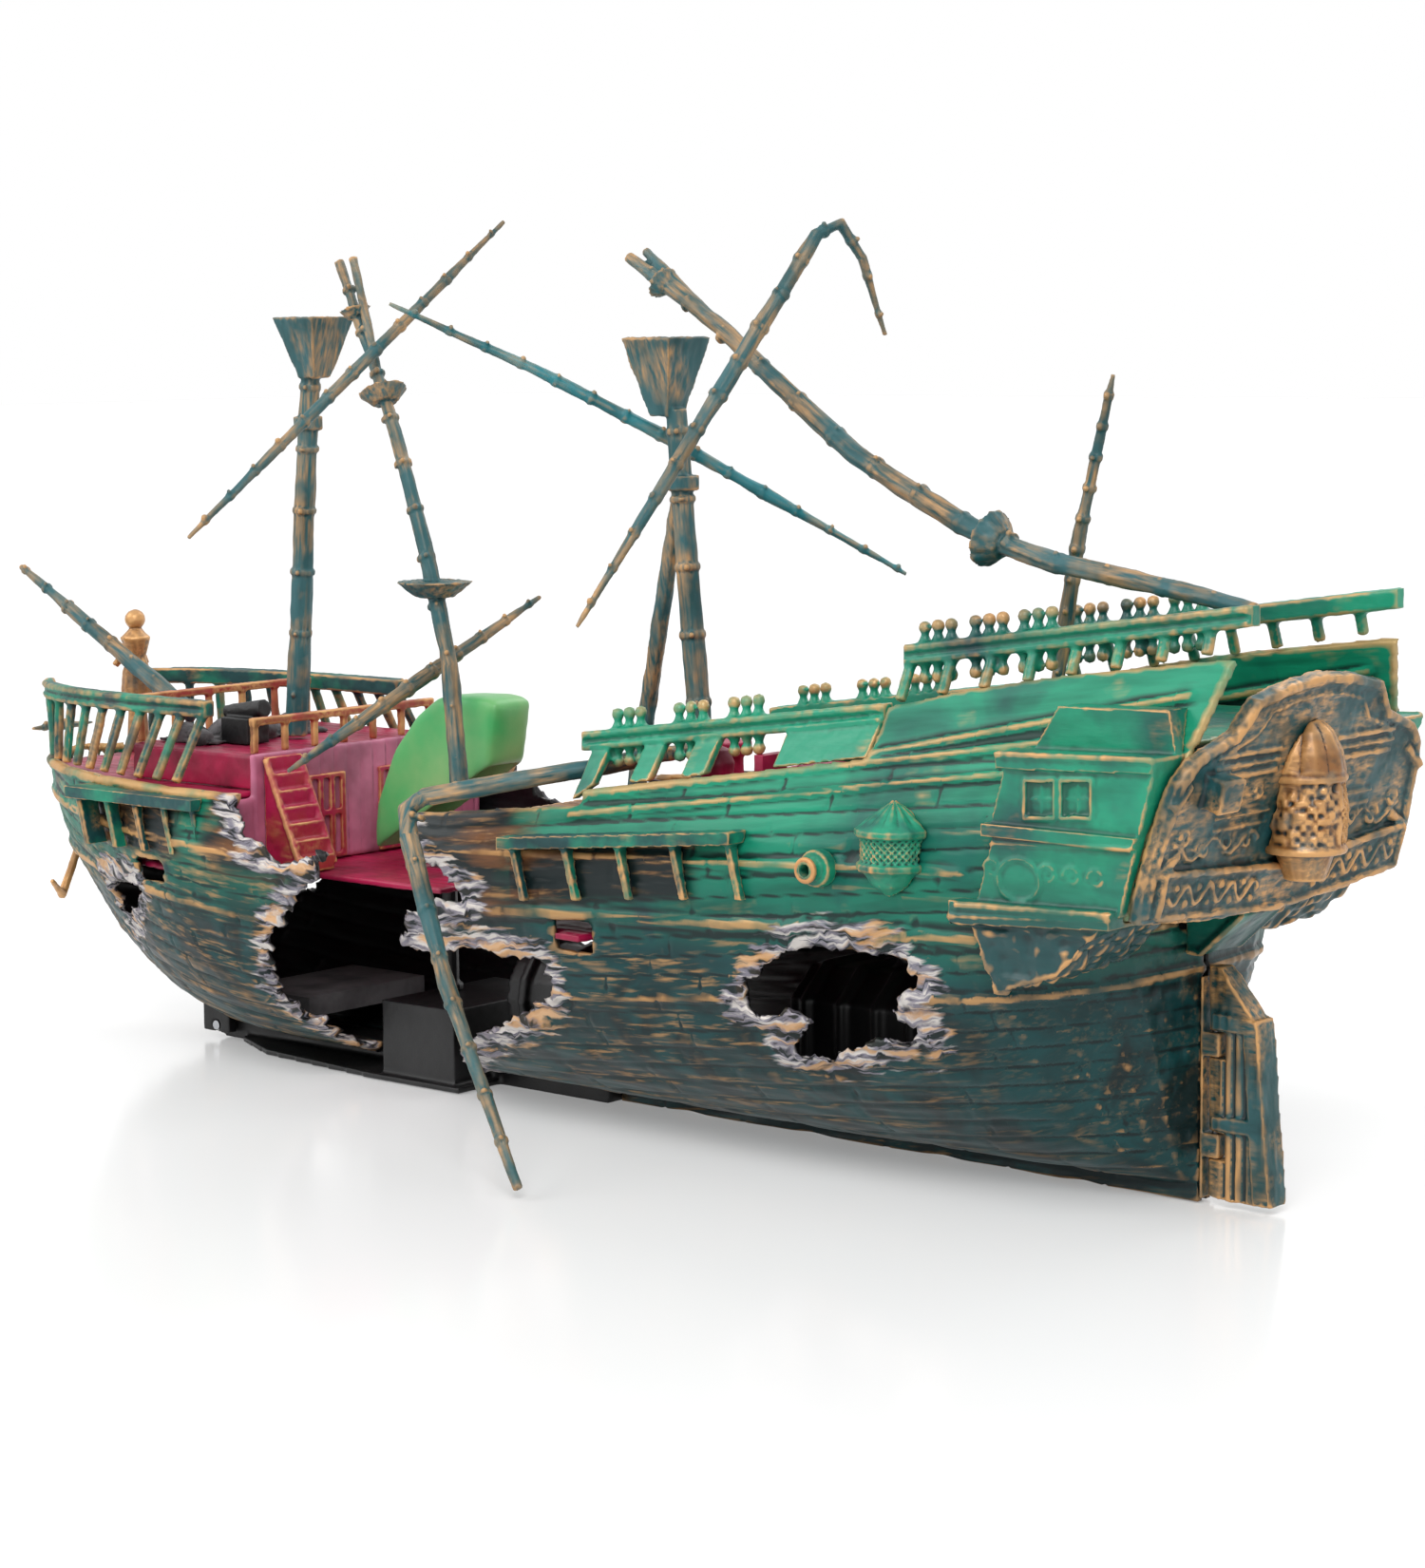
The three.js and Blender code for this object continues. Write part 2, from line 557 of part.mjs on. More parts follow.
const sparParts = {
  main_topmast_fallen: () => {
    const tipRadius = 1.4;
    const swell = (i) => Math.sin(Math.PI * (i + 2) / (fallenMain.length + 2));
    const radii = fallenMain.map((_, i) => tipRadius + (topmastRadius - tipRadius) * swell(i));
    const slope = fallenMain[5].clone().sub(fallenMain[3]);
    const tip = fallenMain[12];
    return join([
      rod(fallenMain, radii),
      roundTop(fallenMain[4], slope, 8, 5),
      rod([fallenMain[10], tip.clone().add(new THREE.Vector3(4, 2.5, 1.5))], [1.6, 1.4]),
      roundTop(fallenMain[11], fallenMain[11].clone().sub(fallenMain[10]), 5, 3),
    ]);
  },
  fore_topmast_fallen: () => {
    const radii = fallenFore.map((_, i) => 1.5 + (topmastRadius - 1.5) * i / 8);
    const second = fallenFore[0].clone().add(new THREE.Vector3(7, -1, 1));
    return join([
      rod(fallenFore, radii),
      rod([second, fallenFore[2]], [1.3, 1.6]),
      roundTop(fallenFore[5], new THREE.Vector3(0, 0, 1), 11.5, 4.5),
      roundTop(fallenFore[2].clone().lerp(fallenFore[3], 0.3), new THREE.Vector3(-0.5, 0.2, 1), 7.5, 4),
      roundTop(fallenFore[1], new THREE.Vector3(-0.3, 0, 1), 5, 3),
    ]);
  },
  main_yard_long: () => yard([
    at(-23.6, -48.2, 229.1), at(6.5, -21.7, 210.6), at(32.4, 1, 192.6), at(57, 22.6, 173.7),
    at(85.5, 47.8, 151.6),
  ].map((point) => point.add(new THREE.Vector3(-2.6, 3, 0))), yardRadius),
  main_yard_bent: () => yard([
    ...straight(at(66, -69, 143.7), at(92, 0, 246), 3), at(95, 6.5, 249), at(97, 13, 240), at(98, 22, 219),
  ], 1.2 * yardRadius),
  mizzen_yard: () => rod([
    at(192.3, -6, 209), at(190.6, -6, 202.5), at(182.3, -6, 169.2), at(178.5, -6, 149.5),
    at(174.5, -6, 124),
  ], [0.7, 1.2, 1.9, 2.1, 1.8]),
  draped_spar: () => rod([
    at(69, -20, 107.7), at(55, -26, 105.3), at(44.6, -35, 102.2), at(31, -51, 99.5), at(8, -69, 94.5),
    at(4.5, -72, 91), at(7, -74, 84), at(34.4, -88, 48), at(79, -108, 2.6),
  ], [1.6, 2.6, 2.6, 2.6, 2.7, 2.7, 2.7, 2.4, 1.2]),
  fore_yard_upper: () => yard(straight(at(-74, -80, 163.5), at(-56, 33, 254)), yardRadius),
  fore_yard_lower: () => yard(straight(at(-50, -66, 97), at(-35, 24, 142)), 1.2 * yardRadius),
  bowsprit: () => rod(straight(at(-166, 0, 100.5), at(-250, 0, 145), 3), [3.2, 2.8, 2.2, 1]),
  sprit_yard: () => yard(straight(at(-231, -13, 93), at(-231, 13, 93)), 1.3, 0.6),
};
for (const [name, make] of Object.entries(mastParts)) add(name, geometryOf(make()), "slate");
const spars = Object.fromEntries(Object.entries(sparParts).map(([name, make]) => [name, make()]));
for (const [name, body] of Object.entries(spars)) {
  add(name, geometryOf(body), name === "main_yard_long" ? "yardTeal" : "slate");
}

for (const [name, side] of sides) {
  const quarter = rail({
    breadth: sternBreadth, x0: 42, x1: 146, boards: quarterBoards, foot: sternRailFoot, top: quarterRailTop, side,
  });
  add(`quarter_rail_${name}`, geometryOf(quarter), "seaGreen");
  const poop = rail({
    breadth: sternBreadth, x0: 148, x1: 252, posts: 8, lastPost: 240, foot: poopFoot, top: poopRailTop, side,
  });
  add(`poop_rail_${name}`, geometryOf(poop), "seaGreen");
  const fore = rail({
    breadth: bowBreadth, x0: -212, x1: -112, posts: 11, foot: () => bowSheer, top: foreRailTop, side,
  });
  add(`fore_rail_${name}`, geometryOf(fore), "deepTeal");
}

// ---------------------------------------------------------------- transom, lantern and rudder
const slant = (body) => {
  const degrees = THREE.MathUtils.radToDeg(transomRake);
  return body.rotate([0, degrees, 0]).translate([along(counterX), 0, up(counterTop)]);
};
const plateThickness = 3;
const nameboard = 2.2;
const onPlate = (y, rise) => new THREE.Vector2(out(y), up(rise) / Math.cos(transomRake));

function transom() {
  const half = [[59, 0], [60, 10], [58.2, 26], [56, 34], [51, 39], [36, 44], [29, 52], [14, 55], [0, 56]];
  const rightEdge = half.map(([y, rise]) => onPlate(y, rise));
  const leftEdge = half.slice(0, -1).reverse().map(([y, rise]) => onPlate(-y, rise));
  const foot = [onPlate(-30, -3), onPlate(0, -4), onPlate(30, -3)];
  const plate = crossPrism([...rightEdge, ...leftEdge, ...foot], gap, gap + plateThickness);
  const board = crossPrism([
    onPlate(-56, 1.5), onPlate(0, -2.5), onPlate(56, 1.5), onPlate(56, 13), onPlate(0, 9), onPlate(-56, 13),
  ], plateThickness, plateThickness + nameboard);
  const sideBlock = crossPrism(
    [onPlate(-44, 27), onPlate(-35, 27), onPlate(-35, 35), onPlate(-44, 35)],
    plateThickness, plateThickness + 6);
  add("transom_plate", geometryOf(slant(join([plate, board, sideBlock]))), "goldTeal");
}
transom();

function lantern() {
  const middle = at(245.5, 0, 103);
  const body = turned([
    [0, -12], [7, -12], [10, -9], [10.5, 0], [9.4, 7], [10, 8.5], [9, 14], [6.5, 19], [3, 22], [1, 24], [1.6, 26],
    [0, 28],
  ], middle, 16);
  const inPlate = slant(box(
    new THREE.Vector3(-30, -20, -20), new THREE.Vector3(plateThickness + 2 * gap, 20, 80)));
  const inBoard = slant(box(
    new THREE.Vector3(0, -20, -20), new THREE.Vector3(plateThickness + nameboard + gap, 20, 13)));
  add("stern_lantern", geometryOf(cut(body, [inPlate, inBoard])), "gold");
}
lantern();

const pinAxis = new THREE.Vector3(along(drawn.stern) + 3.5, 0, 0);
const rudderTop = 61;
const lugHeights = [[12, 18], [38, 44]];
const cylinderAlongZ = (x, y, radius, z0, z1, sides = 16) => {
  const geometry = new THREE.CylinderGeometry(radius, radius, z1 - z0, sides).rotateX(Math.PI / 2);
  return solid(geometry.translate(x, y, (z0 + z1) / 2));
};

function rudderAndPin() {
  const bore = rudderPinRadius + pinClearance;
  const front = pinAxis.x - 1.9;
  const blade = [
    [front, 1.5], [pinAxis.x + 18.5, 1.5], [pinAxis.x + 14.5, up(46.6)], [pinAxis.x + 3, up(rudderTop)],
    [front, up(rudderTop)],
  ].map(([x, z]) => new THREE.Vector2(x, z));
  const profile = solid(extruded(blade, 8).rotateX(Math.PI / 2).translate(0, 4, 0));
  const nose = Array.from({ length: 7 }, (_, i) => {
    const angle = Math.PI / 2 + Math.PI * i / 6;
    return new THREE.Vector2(pinAxis.x + 1.9 * Math.cos(angle), 1.9 * Math.sin(angle));
  });
  const plan = [...nose, new THREE.Vector2(pinAxis.x + 5, -3.5), new THREE.Vector2(pinAxis.x + 20, -3.5),
    new THREE.Vector2(pinAxis.x + 20, 3.5), new THREE.Vector2(pinAxis.x + 5, 3.5)];
  const lugReach = 2.6;
  const notchReach = Math.hypot(lugReach, halfKeel) + 2 * gap;    // the lug's corner swings past
  const notches = lugHeights.map(([z0, z1]) => box(
    new THREE.Vector3(front - 1, -5, up(z0) - 0.5), new THREE.Vector3(pinAxis.x + notchReach, 5, up(z1) + 0.5)));
  const hole = cylinderAlongZ(pinAxis.x, 0, bore, -1, up(rudderTop) + 1);
  const rudder = cut(profile.intersect(planPrism(plan, 0, up(rudderTop) + 1)), [...notches, hole]);
  add("rudder", geometryOf(rudder), "gold");
  const pin = cylinderAlongZ(pinAxis.x, 0, rudderPinRadius, 2, up(rudderTop) - 2);
  add("rudder_pin", geometryOf(pin), "steel");
  const strip = box(
    new THREE.Vector3(along(drawn.stern) + gap, -halfKeel, 1), new THREE.Vector3(front - 0.5, halfKeel, up(58)));
  const lugs = lugHeights.map(([z0, z1]) => box(
    new THREE.Vector3(along(drawn.stern) + gap, -halfKeel, up(z0)),
    new THREE.Vector3(pinAxis.x + lugReach, halfKeel, up(z1))));
  const gudgeons = join([strip, ...lugs]).subtract(cylinderAlongZ(pinAxis.x, 0, bore, -1, up(60)));
  add("rudder_gudgeons", geometryOf(gudgeons), "gold");
}
rudderAndPin();

// ---------------------------------------------------------------- outboard pieces
const quarterGallery = (side) => {
  const slab = (outline, depth) => (side < 0
    ? sidePrism(outline, -out(depth), -out(30)) : sidePrism(outline, out(30), out(depth)));
  return join([
    slab([[184, 76], [231, 79], [232, 83.5], [184, 82]], 64),
    slab([[190, 80], [233, 82], [238, 100], [196, 100]], 61.5),
    slab([[194, 99], [239, 99], [242, 118], [199, 116]], 61.5),
    slab([[193, 98.5], [240, 98.5], [240, 101.5], [193, 101.5]], 63),
    slab([[197, 115], [243, 117], [243, 120.5], [197, 119]], 62.5),
    slab([[200, 118], [242, 120], [240, 131], [208, 130]], 52),
    slab([[188, 78], [228, 80], [214, 66], [196, 60]], 61),
  ]);
};
const channel = (side, x0, x1, z, slope, depth, brackets) => {
  const ledgeHeight = 3.5;
  const kneeHalf = 1;
  const kneeDrop = 14;
  const foot = (x) => z + slope * (x - x0);
  const slab = (outline, reach) => (side < 0
    ? sidePrism(outline, -out(reach), -out(40)) : sidePrism(outline, out(40), out(reach)));
  const ledge = slab([
    [x0, foot(x0)], [x1, foot(x1)], [x1, foot(x1) + ledgeHeight], [x0, foot(x0) + ledgeHeight],
  ], depth);
  const knees = Array.from({ length: brackets }, (_, i) => {
    const x = x0 + 3 + (x1 - x0 - 6) * i / (brackets - 1);
    const low = foot(x) - kneeDrop;
    const lean = 4;
    return slab([[x + lean - kneeHalf, low], [x + lean + kneeHalf, low], [x + kneeHalf, foot(x) + 1],
      [x - kneeHalf, foot(x) + 1]], depth - 2.2);
  });
  return join([ledge, ...knees]);
};
const sideTurret = (side) => {
  const centre = at(162, 57 * side, 74);
  const profile = [[0, 4], [1.6, 4], [2, 6], [6, 9], [8, 12], [9.8, 13], [9.8, 14.5], [8.6, 15], [8.6, 21],
    [10.2, 21.6], [10.2, 23], [7, 25], [3, 28], [0, 30]];
  return turned(profile.map(([r, z]) => [r, up(z)]), centre, 12);
};
const behindTransom = slant(box(
  new THREE.Vector3(-2 * gap, -2 * halfBeam, -gunwaleHeight), new THREE.Vector3(60, 2 * halfBeam, gunwaleHeight)));
for (const [name, side] of sides) {
  const { stern, bow } = envelope[name];
  const gallery = cut(quarterGallery(side), [stern, behindTransom]);
  add(`quarter_gallery_${name}`, geometryOf(gallery), "seaGreen");
  add(`main_channel_${name}`, geometryOf(channel(side, 30, 113, 81, 0.1, 63.5, 5).subtract(stern)), "goldTeal");
  add(`side_turret_${name}`, geometryOf(sideTurret(side).subtract(stern)), "goldTeal");
  add(`fore_channel_${name}`, geometryOf(channel(side, -156, -98, 81, 0, 61, 5).subtract(bow)), "goldTeal");
}

const gunBore = 1.6;
function cannon(x, z, length) {
  const place = at(x, -54, z);
  const barrel = new THREE.CylinderGeometry(2.6, 3.2, length, 12);
  const bore = new THREE.CylinderGeometry(gunBore, gunBore, length, 12);
  const body = solid(barrel.translate(0, length / 2, 0)).subtract(solid(bore.translate(0, length / 2 + 3, 0)));
  return body.rotate([180, 0, 0]).translate([place.x, place.y, place.z]);
}
add("side_cannon", geometryOf(cannon(140, 85.5, out(12)).subtract(envelope.port.stern)), "red");

// ---------------------------------------------------------------- deck fittings
function fittings() {
  const onQuarter = (x, y) => at(x, y, quarterZ).add(new THREE.Vector3(0, 0, gap));
  const capstan = turned([[0, 0], [6, 0], [4.2, 4], [4.2, 9], [6.5, 10], [6.5, 13], [0, 13]], onQuarter(78, -22));
  add("capstan", geometryOf(capstan), "magenta");
  const roof = at(-121, -18, foreDeckZ).add(new THREE.Vector3(0, 0, gap));
  const carriage = block(roof.clone().add(new THREE.Vector3(0, 0, 4)), 12, 9, 8);
  const barrel = rod([roof.clone().add(new THREE.Vector3(-8, 0, 9)),
    roof.clone().add(new THREE.Vector3(9, 0, 11))], [2.2, 3], 10);
  add("deck_gun", geometryOf(carriage.add(barrel)), "black");
}
fittings();

function deckRail(x, y0, y1, foot, height, posts, look, name) {
  const beam = box(new THREE.Vector3(along(x) - 1.2, out(y0), up(foot) + height - 2.4),
    new THREE.Vector3(along(x) + 1.2, out(y1), up(foot) + height));
  const uprights = Array.from({ length: posts }, (_, i) => {
    const y = out(y0) + 1.2 + (out(y1) - out(y0) - 2.4) * i / (posts - 1);
    return block(new THREE.Vector3(along(x), y, up(foot) + gap + (height - gap - 1) / 2), 2, 2, height - gap - 1);
  });
  add(name, geometryOf(join([beam, ...uprights])), look);
}
deckRail(-96, -38, 38, foreDeckZ, 11, 7, "red", "after_deck_rail");
deckRail(-150, -36, 36, foreDeckZ, 15, 6, "red", "forward_deck_rail");

// The figure beside the bowsprit is a plain robed shape on a post, with a smooth round head.
function figurehead() {
  const foot = at(-204, 9.5, 85.5).add(new THREE.Vector3(0, 0, gap));
  const onFoot = (x, y, z) => foot.clone().add(new THREE.Vector3(x, y, z));
  const robe = turned(
    [[0, 0], [4, 0], [3, 14], [5.4, 18], [4.6, 26], [3.2, 31], [5, 37], [2, 40], [0, 40]], foot, 12);
  const head = solid(new THREE.SphereGeometry(3.4, 12, 8).translate(foot.x, foot.y, foot.z + 43));
  const arms = rod([onFoot(-3, -6.5, 28), onFoot(0, 0, 37), onFoot(-3, 6.5, 28)], [1.3, 2, 1.3]);
  add("figurehead", geometryOf(join([robe, head, arms])), "gold");
}
figurehead();

function anchor() {
  const ring = at(-211, -8, 62);
  const crown = at(-213, -17, 40);
  const port = at(-208, -25, 46);
  const fore = at(-219, -9, 46);
  add("anchor", geometryOf(join([
    rod([ring, crown], [1.3, 1.6], 6),
    rod([port, crown, fore], [0.8, 1.6, 0.8], 6),
  ]).subtract(envelope.port.bow)), "gold");
}
anchor();

// ---------------------------------------------------------------- air bell, base and working parts
const bellHalf = 8.5;
function airBell() {
  const outline = [[-76.5, 64.5], [-75.2, 79.5], [-67, 97], [-57, 108], [-48, 114], [-29, 115], [-22.8, 113.6],
    [-26.3, 94]];
  const hollow = [[-73.8, 60], [-72.8, 79], [-65, 95.5], [-55.5, 105.5], [-47, 111.2], [-30, 112], [-26, 111],
    [-28.7, 90], [-44.7, 70]];
  const inside = sidePrism(hollow, wall - bellHalf, bellHalf - wall);
  const bell = sidePrism(outline, -bellHalf, bellHalf).subtract(inside);
  add("air_bell", geometryOf(bell), "bellGreen");
}
airBell();

function workingParts() {
  const arm = box(new THREE.Vector3(hinge.x, -baseArmHalfWidth, 0),
    new THREE.Vector3(along(20) - gap, baseArmHalfWidth, baseArmHeight));
  const eye = rod([new THREE.Vector3(hinge.x, -baseArmHalfWidth, hinge.z),
    new THREE.Vector3(hinge.x, baseArmHalfWidth, hinge.z)], [hingeEyeRadius, hingeEyeRadius], 20);
  const pinHole = rod([new THREE.Vector3(hinge.x, -20, hinge.z), new THREE.Vector3(hinge.x, 20, hinge.z)],
    [hingePinRadius + pinClearance, hingePinRadius + pinClearance], 16);
  const padEdge = [[-134, 11], [-112, 21], [-60, 26], [-24, 26]];
  const pad = planPrism([...padEdge, ...padEdge.map(([x, y]) => [x, -y]).reverse()]
    .map(([x, y]) => new THREE.Vector2(along(x), y)), 0, 1.6);
  const chamber = box(new THREE.Vector3(along(-57), -24, 0), new THREE.Vector3(along(-27), 24, 24));
  const hollow = box(new THREE.Vector3(along(-57) + wall, wall - 24, wall),
    new THREE.Vector3(along(-27) - wall, 24 - wall, 24 - wall));
  const outlet = cylinderAlongZ(along(riserX), 0, tubeBore, 20, 26);
  const inletX = along(-42);
  const inletHeight = 12;
  const inlet = rod([
    new THREE.Vector3(inletX, 18, inletHeight), new THREE.Vector3(inletX, 30, inletHeight),
  ], [tubeBore, tubeBore], 12);
  const base = cut(join([arm, eye, pad, chamber]), [pinHole, hollow, outlet, inlet]);
  add("base_chassis", geometryOf(base), "black");

  const nippleProfile = [[tubeBore, gap], [4, gap], [4, 2], [2.6, 2], [2.9, 6], [2.4, 7], [2.9, 11], [2.2, 12],
    [tubeBore, 12], [tubeBore, gap]].map(([r, y]) => new THREE.Vector2(r, y));
  const nipple = solid(new THREE.LatheGeometry(nippleProfile, 12));
  add("air_nipple", geometryOf(nipple.translate([inletX, 24, inletHeight])), "black");

  const riserProfile = [[tubeBore, 24 + gap], [4, 24 + gap], [4, 26], [tubeBore + tubeWall, 27],
    [tubeBore + tubeWall, up(70)], [tubeBore, up(70)], [tubeBore, 24 + gap]];
  const riser = new THREE.LatheGeometry(riserProfile.map(([r, z]) => new THREE.Vector2(r, z)), 12)
    .rotateX(Math.PI / 2).translate(along(riserX), 0, 0);
  add("riser_tube", geometryOf(solid(riser)), "black");

  const pin = rod([new THREE.Vector3(hinge.x, -earOuter, hinge.z), new THREE.Vector3(hinge.x, earOuter, hinge.z)],
    [hingePinRadius, hingePinRadius], 16);
  add("hinge_pin", geometryOf(pin), "steel");

  const yoke = sidePrism([[-151, 2], [-139, 2], [-139, 14], [-151, 14]], -earOuter, earOuter);
  const throat = sidePrism([[-152, -1], [-138, -1], [-138, 9.6], [-152, 9.6]], -earInner, earInner);
  add("hinge_yoke", geometryOf(cut(yoke, [throat, pinHole])), "black");
}
workingParts();

// A ribbed tank that steadies the stern, with a post up to the quarterdeck, and a ribbed drum before it.
function innerTanks() {
  const tankHalf = out(21);
  const low = up(15);
  const shape = (x0, x1, grow) => {
    const half = tankHalf + grow;
    const outline = [[-half, low], [half, low], [half, up(42)], [0.55 * half, up(50) + grow],
      [-0.55 * half, up(50) + grow], [-half, up(42)]].map(([y, z]) => new THREE.Vector2(y, z));
    return crossPrism(outline, along(x0), along(x1));
  };
  const ribs = [104, 116, 128, 140, 152].map((x) => shape(x - 1.2, x + 1.2, 1.6));
  const post = cylinderAlongZ(along(122), 0, 3, up(46), up(quarterZ) - deckThickness - gap, 10);
  add("stern_tank", geometryOf(join([shape(98, 158, 0), post, ...ribs])), "black");

  const drumRadius = up(15);
  const centre = up(28);
  const bar = (x0, x1, radius) => rod([new THREE.Vector3(along(x0), 0, centre),
    new THREE.Vector3(along(x1), 0, centre)], [radius, radius], 16);
  const hoops = [-8, 6, 20].map((x) => bar(x, x + 3, drumRadius + 2));
  add("air_drum", geometryOf(join([bar(-14, 30, drumRadius), ...hoops])), "black");
  add("bow_ballast", geometryOf(block(at(-104, 0, 18), 32, 49, 6)), "stone");
}
innerTanks();

export default group;
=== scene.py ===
"""Looks for the bubbling shipwreck ornament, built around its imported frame.

Each moulding starts as its solid from the frame, gets its fittings and its relief, and is painted the
way the real one is: a base colour, a dark wash in the hollows and gold brushed over what stands out.
"""
import json
import math
from itertools import product

import bpy
import numpy as np
from mathutils import Matrix, Vector
from mathutils.bvhtree import BVHTree


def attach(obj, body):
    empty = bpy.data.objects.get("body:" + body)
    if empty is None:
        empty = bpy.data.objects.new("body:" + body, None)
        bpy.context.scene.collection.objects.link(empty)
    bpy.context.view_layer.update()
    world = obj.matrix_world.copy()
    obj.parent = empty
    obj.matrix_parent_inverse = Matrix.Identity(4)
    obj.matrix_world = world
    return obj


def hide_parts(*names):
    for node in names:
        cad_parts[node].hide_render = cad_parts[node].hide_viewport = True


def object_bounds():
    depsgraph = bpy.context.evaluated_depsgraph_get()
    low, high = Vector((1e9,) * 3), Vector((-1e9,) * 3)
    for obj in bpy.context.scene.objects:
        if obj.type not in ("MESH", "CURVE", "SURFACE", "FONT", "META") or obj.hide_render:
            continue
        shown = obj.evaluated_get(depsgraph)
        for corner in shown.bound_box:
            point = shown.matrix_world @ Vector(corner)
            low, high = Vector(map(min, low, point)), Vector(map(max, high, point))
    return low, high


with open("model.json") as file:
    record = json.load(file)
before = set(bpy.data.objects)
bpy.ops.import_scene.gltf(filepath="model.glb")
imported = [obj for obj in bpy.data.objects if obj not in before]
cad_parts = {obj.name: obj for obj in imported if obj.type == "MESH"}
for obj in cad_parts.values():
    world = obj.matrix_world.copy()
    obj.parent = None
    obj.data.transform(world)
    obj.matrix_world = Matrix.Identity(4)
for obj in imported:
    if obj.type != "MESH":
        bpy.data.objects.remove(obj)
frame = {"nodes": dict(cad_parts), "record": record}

bl_info = {
    "name": "Bubbling shipwreck ornament",
    "version": (1, 0, 0),
    "blender": (4, 5, 0),
    "location": "View3D > Sidebar > Shipwreck",
    "description": "Builds the mouldings, paint and stage of an air-driven shipwreck ornament",
    "category": "Add Mesh",
}

MM = 0.001
CAD_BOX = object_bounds()
SIDES = (("port", -1), ("starboard", 1))
BODY_OF = {
    node: body for body, nodes in frame["record"]["behaviour"]["bodies"].items() for node in nodes
}


# ------------------------------------------------------------------ colours and sizes a user may change
def linear(hex_code):
    """Turns an sRGB colour written as six hex digits into the linear values that shaders use."""
    parts = [int(hex_code[i:i + 2], 16) / 255 for i in (1, 3, 5)]
    return tuple(c / 12.92 if c <= 0.04045 else ((c + 0.055) / 1.055) ** 2.4 for c in parts)


def colour(label, hex_code, words):
    return bpy.props.FloatVectorProperty(
        name=label, description=words, subtype="COLOR", size=3, min=0, max=1, default=linear(hex_code))


def length(label, millimetres, words):
    return bpy.props.FloatProperty(
        name=label, description=words, subtype="DISTANCE", unit="LENGTH", default=millimetres * MM)


class ShipwreckPaint(bpy.types.PropertyGroup):
    """Colours of the paints and plastics."""
    sea_green: colour("Sea green", "#189673", "Upper hull of the stern half")
    deep_teal: colour("Deep teal", "#0b4446", "Lower hull and shaded paint")
    # The wash colour also darkens the band under the channels, as painted shade.
    teal_black: colour("Wash", "#0b1a1c", "Dark wash that stays in the hollows")
    gold: colour("Gold", "#dba66b", "Brushed over everything that stands out")
    bone: colour("Bone white", "#d8d2cd", "Splintered edges of the broken planks")
    slate: colour("Slate teal", "#2a5f64", "Masts and spars")
    yard_teal: colour("Yard teal", "#1f7f88", "The long loose yard")
    plank_brown: colour("Plank brown", "#7a4f2f", "Bare planks of the waist")
    magenta: colour("Magenta", "#b01549", "Decks of the forecastle")
    pink: colour("Pink", "#cf7595", "Cabin wall")
    red: colour("Red", "#a8352f", "Deck rails and gun")
    bell_green: colour("Bell green", "#93c17e", "Air bell")
    # Black is also the painted shade inside the hull, below the deck.
    black: colour("Black", "#0d0d0f", "Base, tank and drum")
    bell_edge: colour("Bell shade", "#4fb96c", "Deeper green of the air bell")
    lilac_grey: colour("Lilac grey", "#87838f", "Shaded flecks of the splintered paint")
    gold_shadow: colour("Gold shadow", "#8a5a2c", "Hollows of the gilded pieces")
    grey_stone: colour("Stone grey", "#6d6a6c", "Heap of ballast stones")


class ShipwreckSizes(bpy.types.PropertyGroup):
    """Sizes of the moulded relief."""
    plank: length("Plank", 5.2, "Height of one hull plank")
    deck_plank: length("Deck plank", 4.5, "Width of one deck plank")
    seam: length("Seam", 0.5, "Depth of the seams between planks")
    splinter: length("Splinter", 3.2, "How far the broken planks stick out")
    torn_reach: length("Torn reach", 13.0, "How far from a broken edge the paint is worn to white")


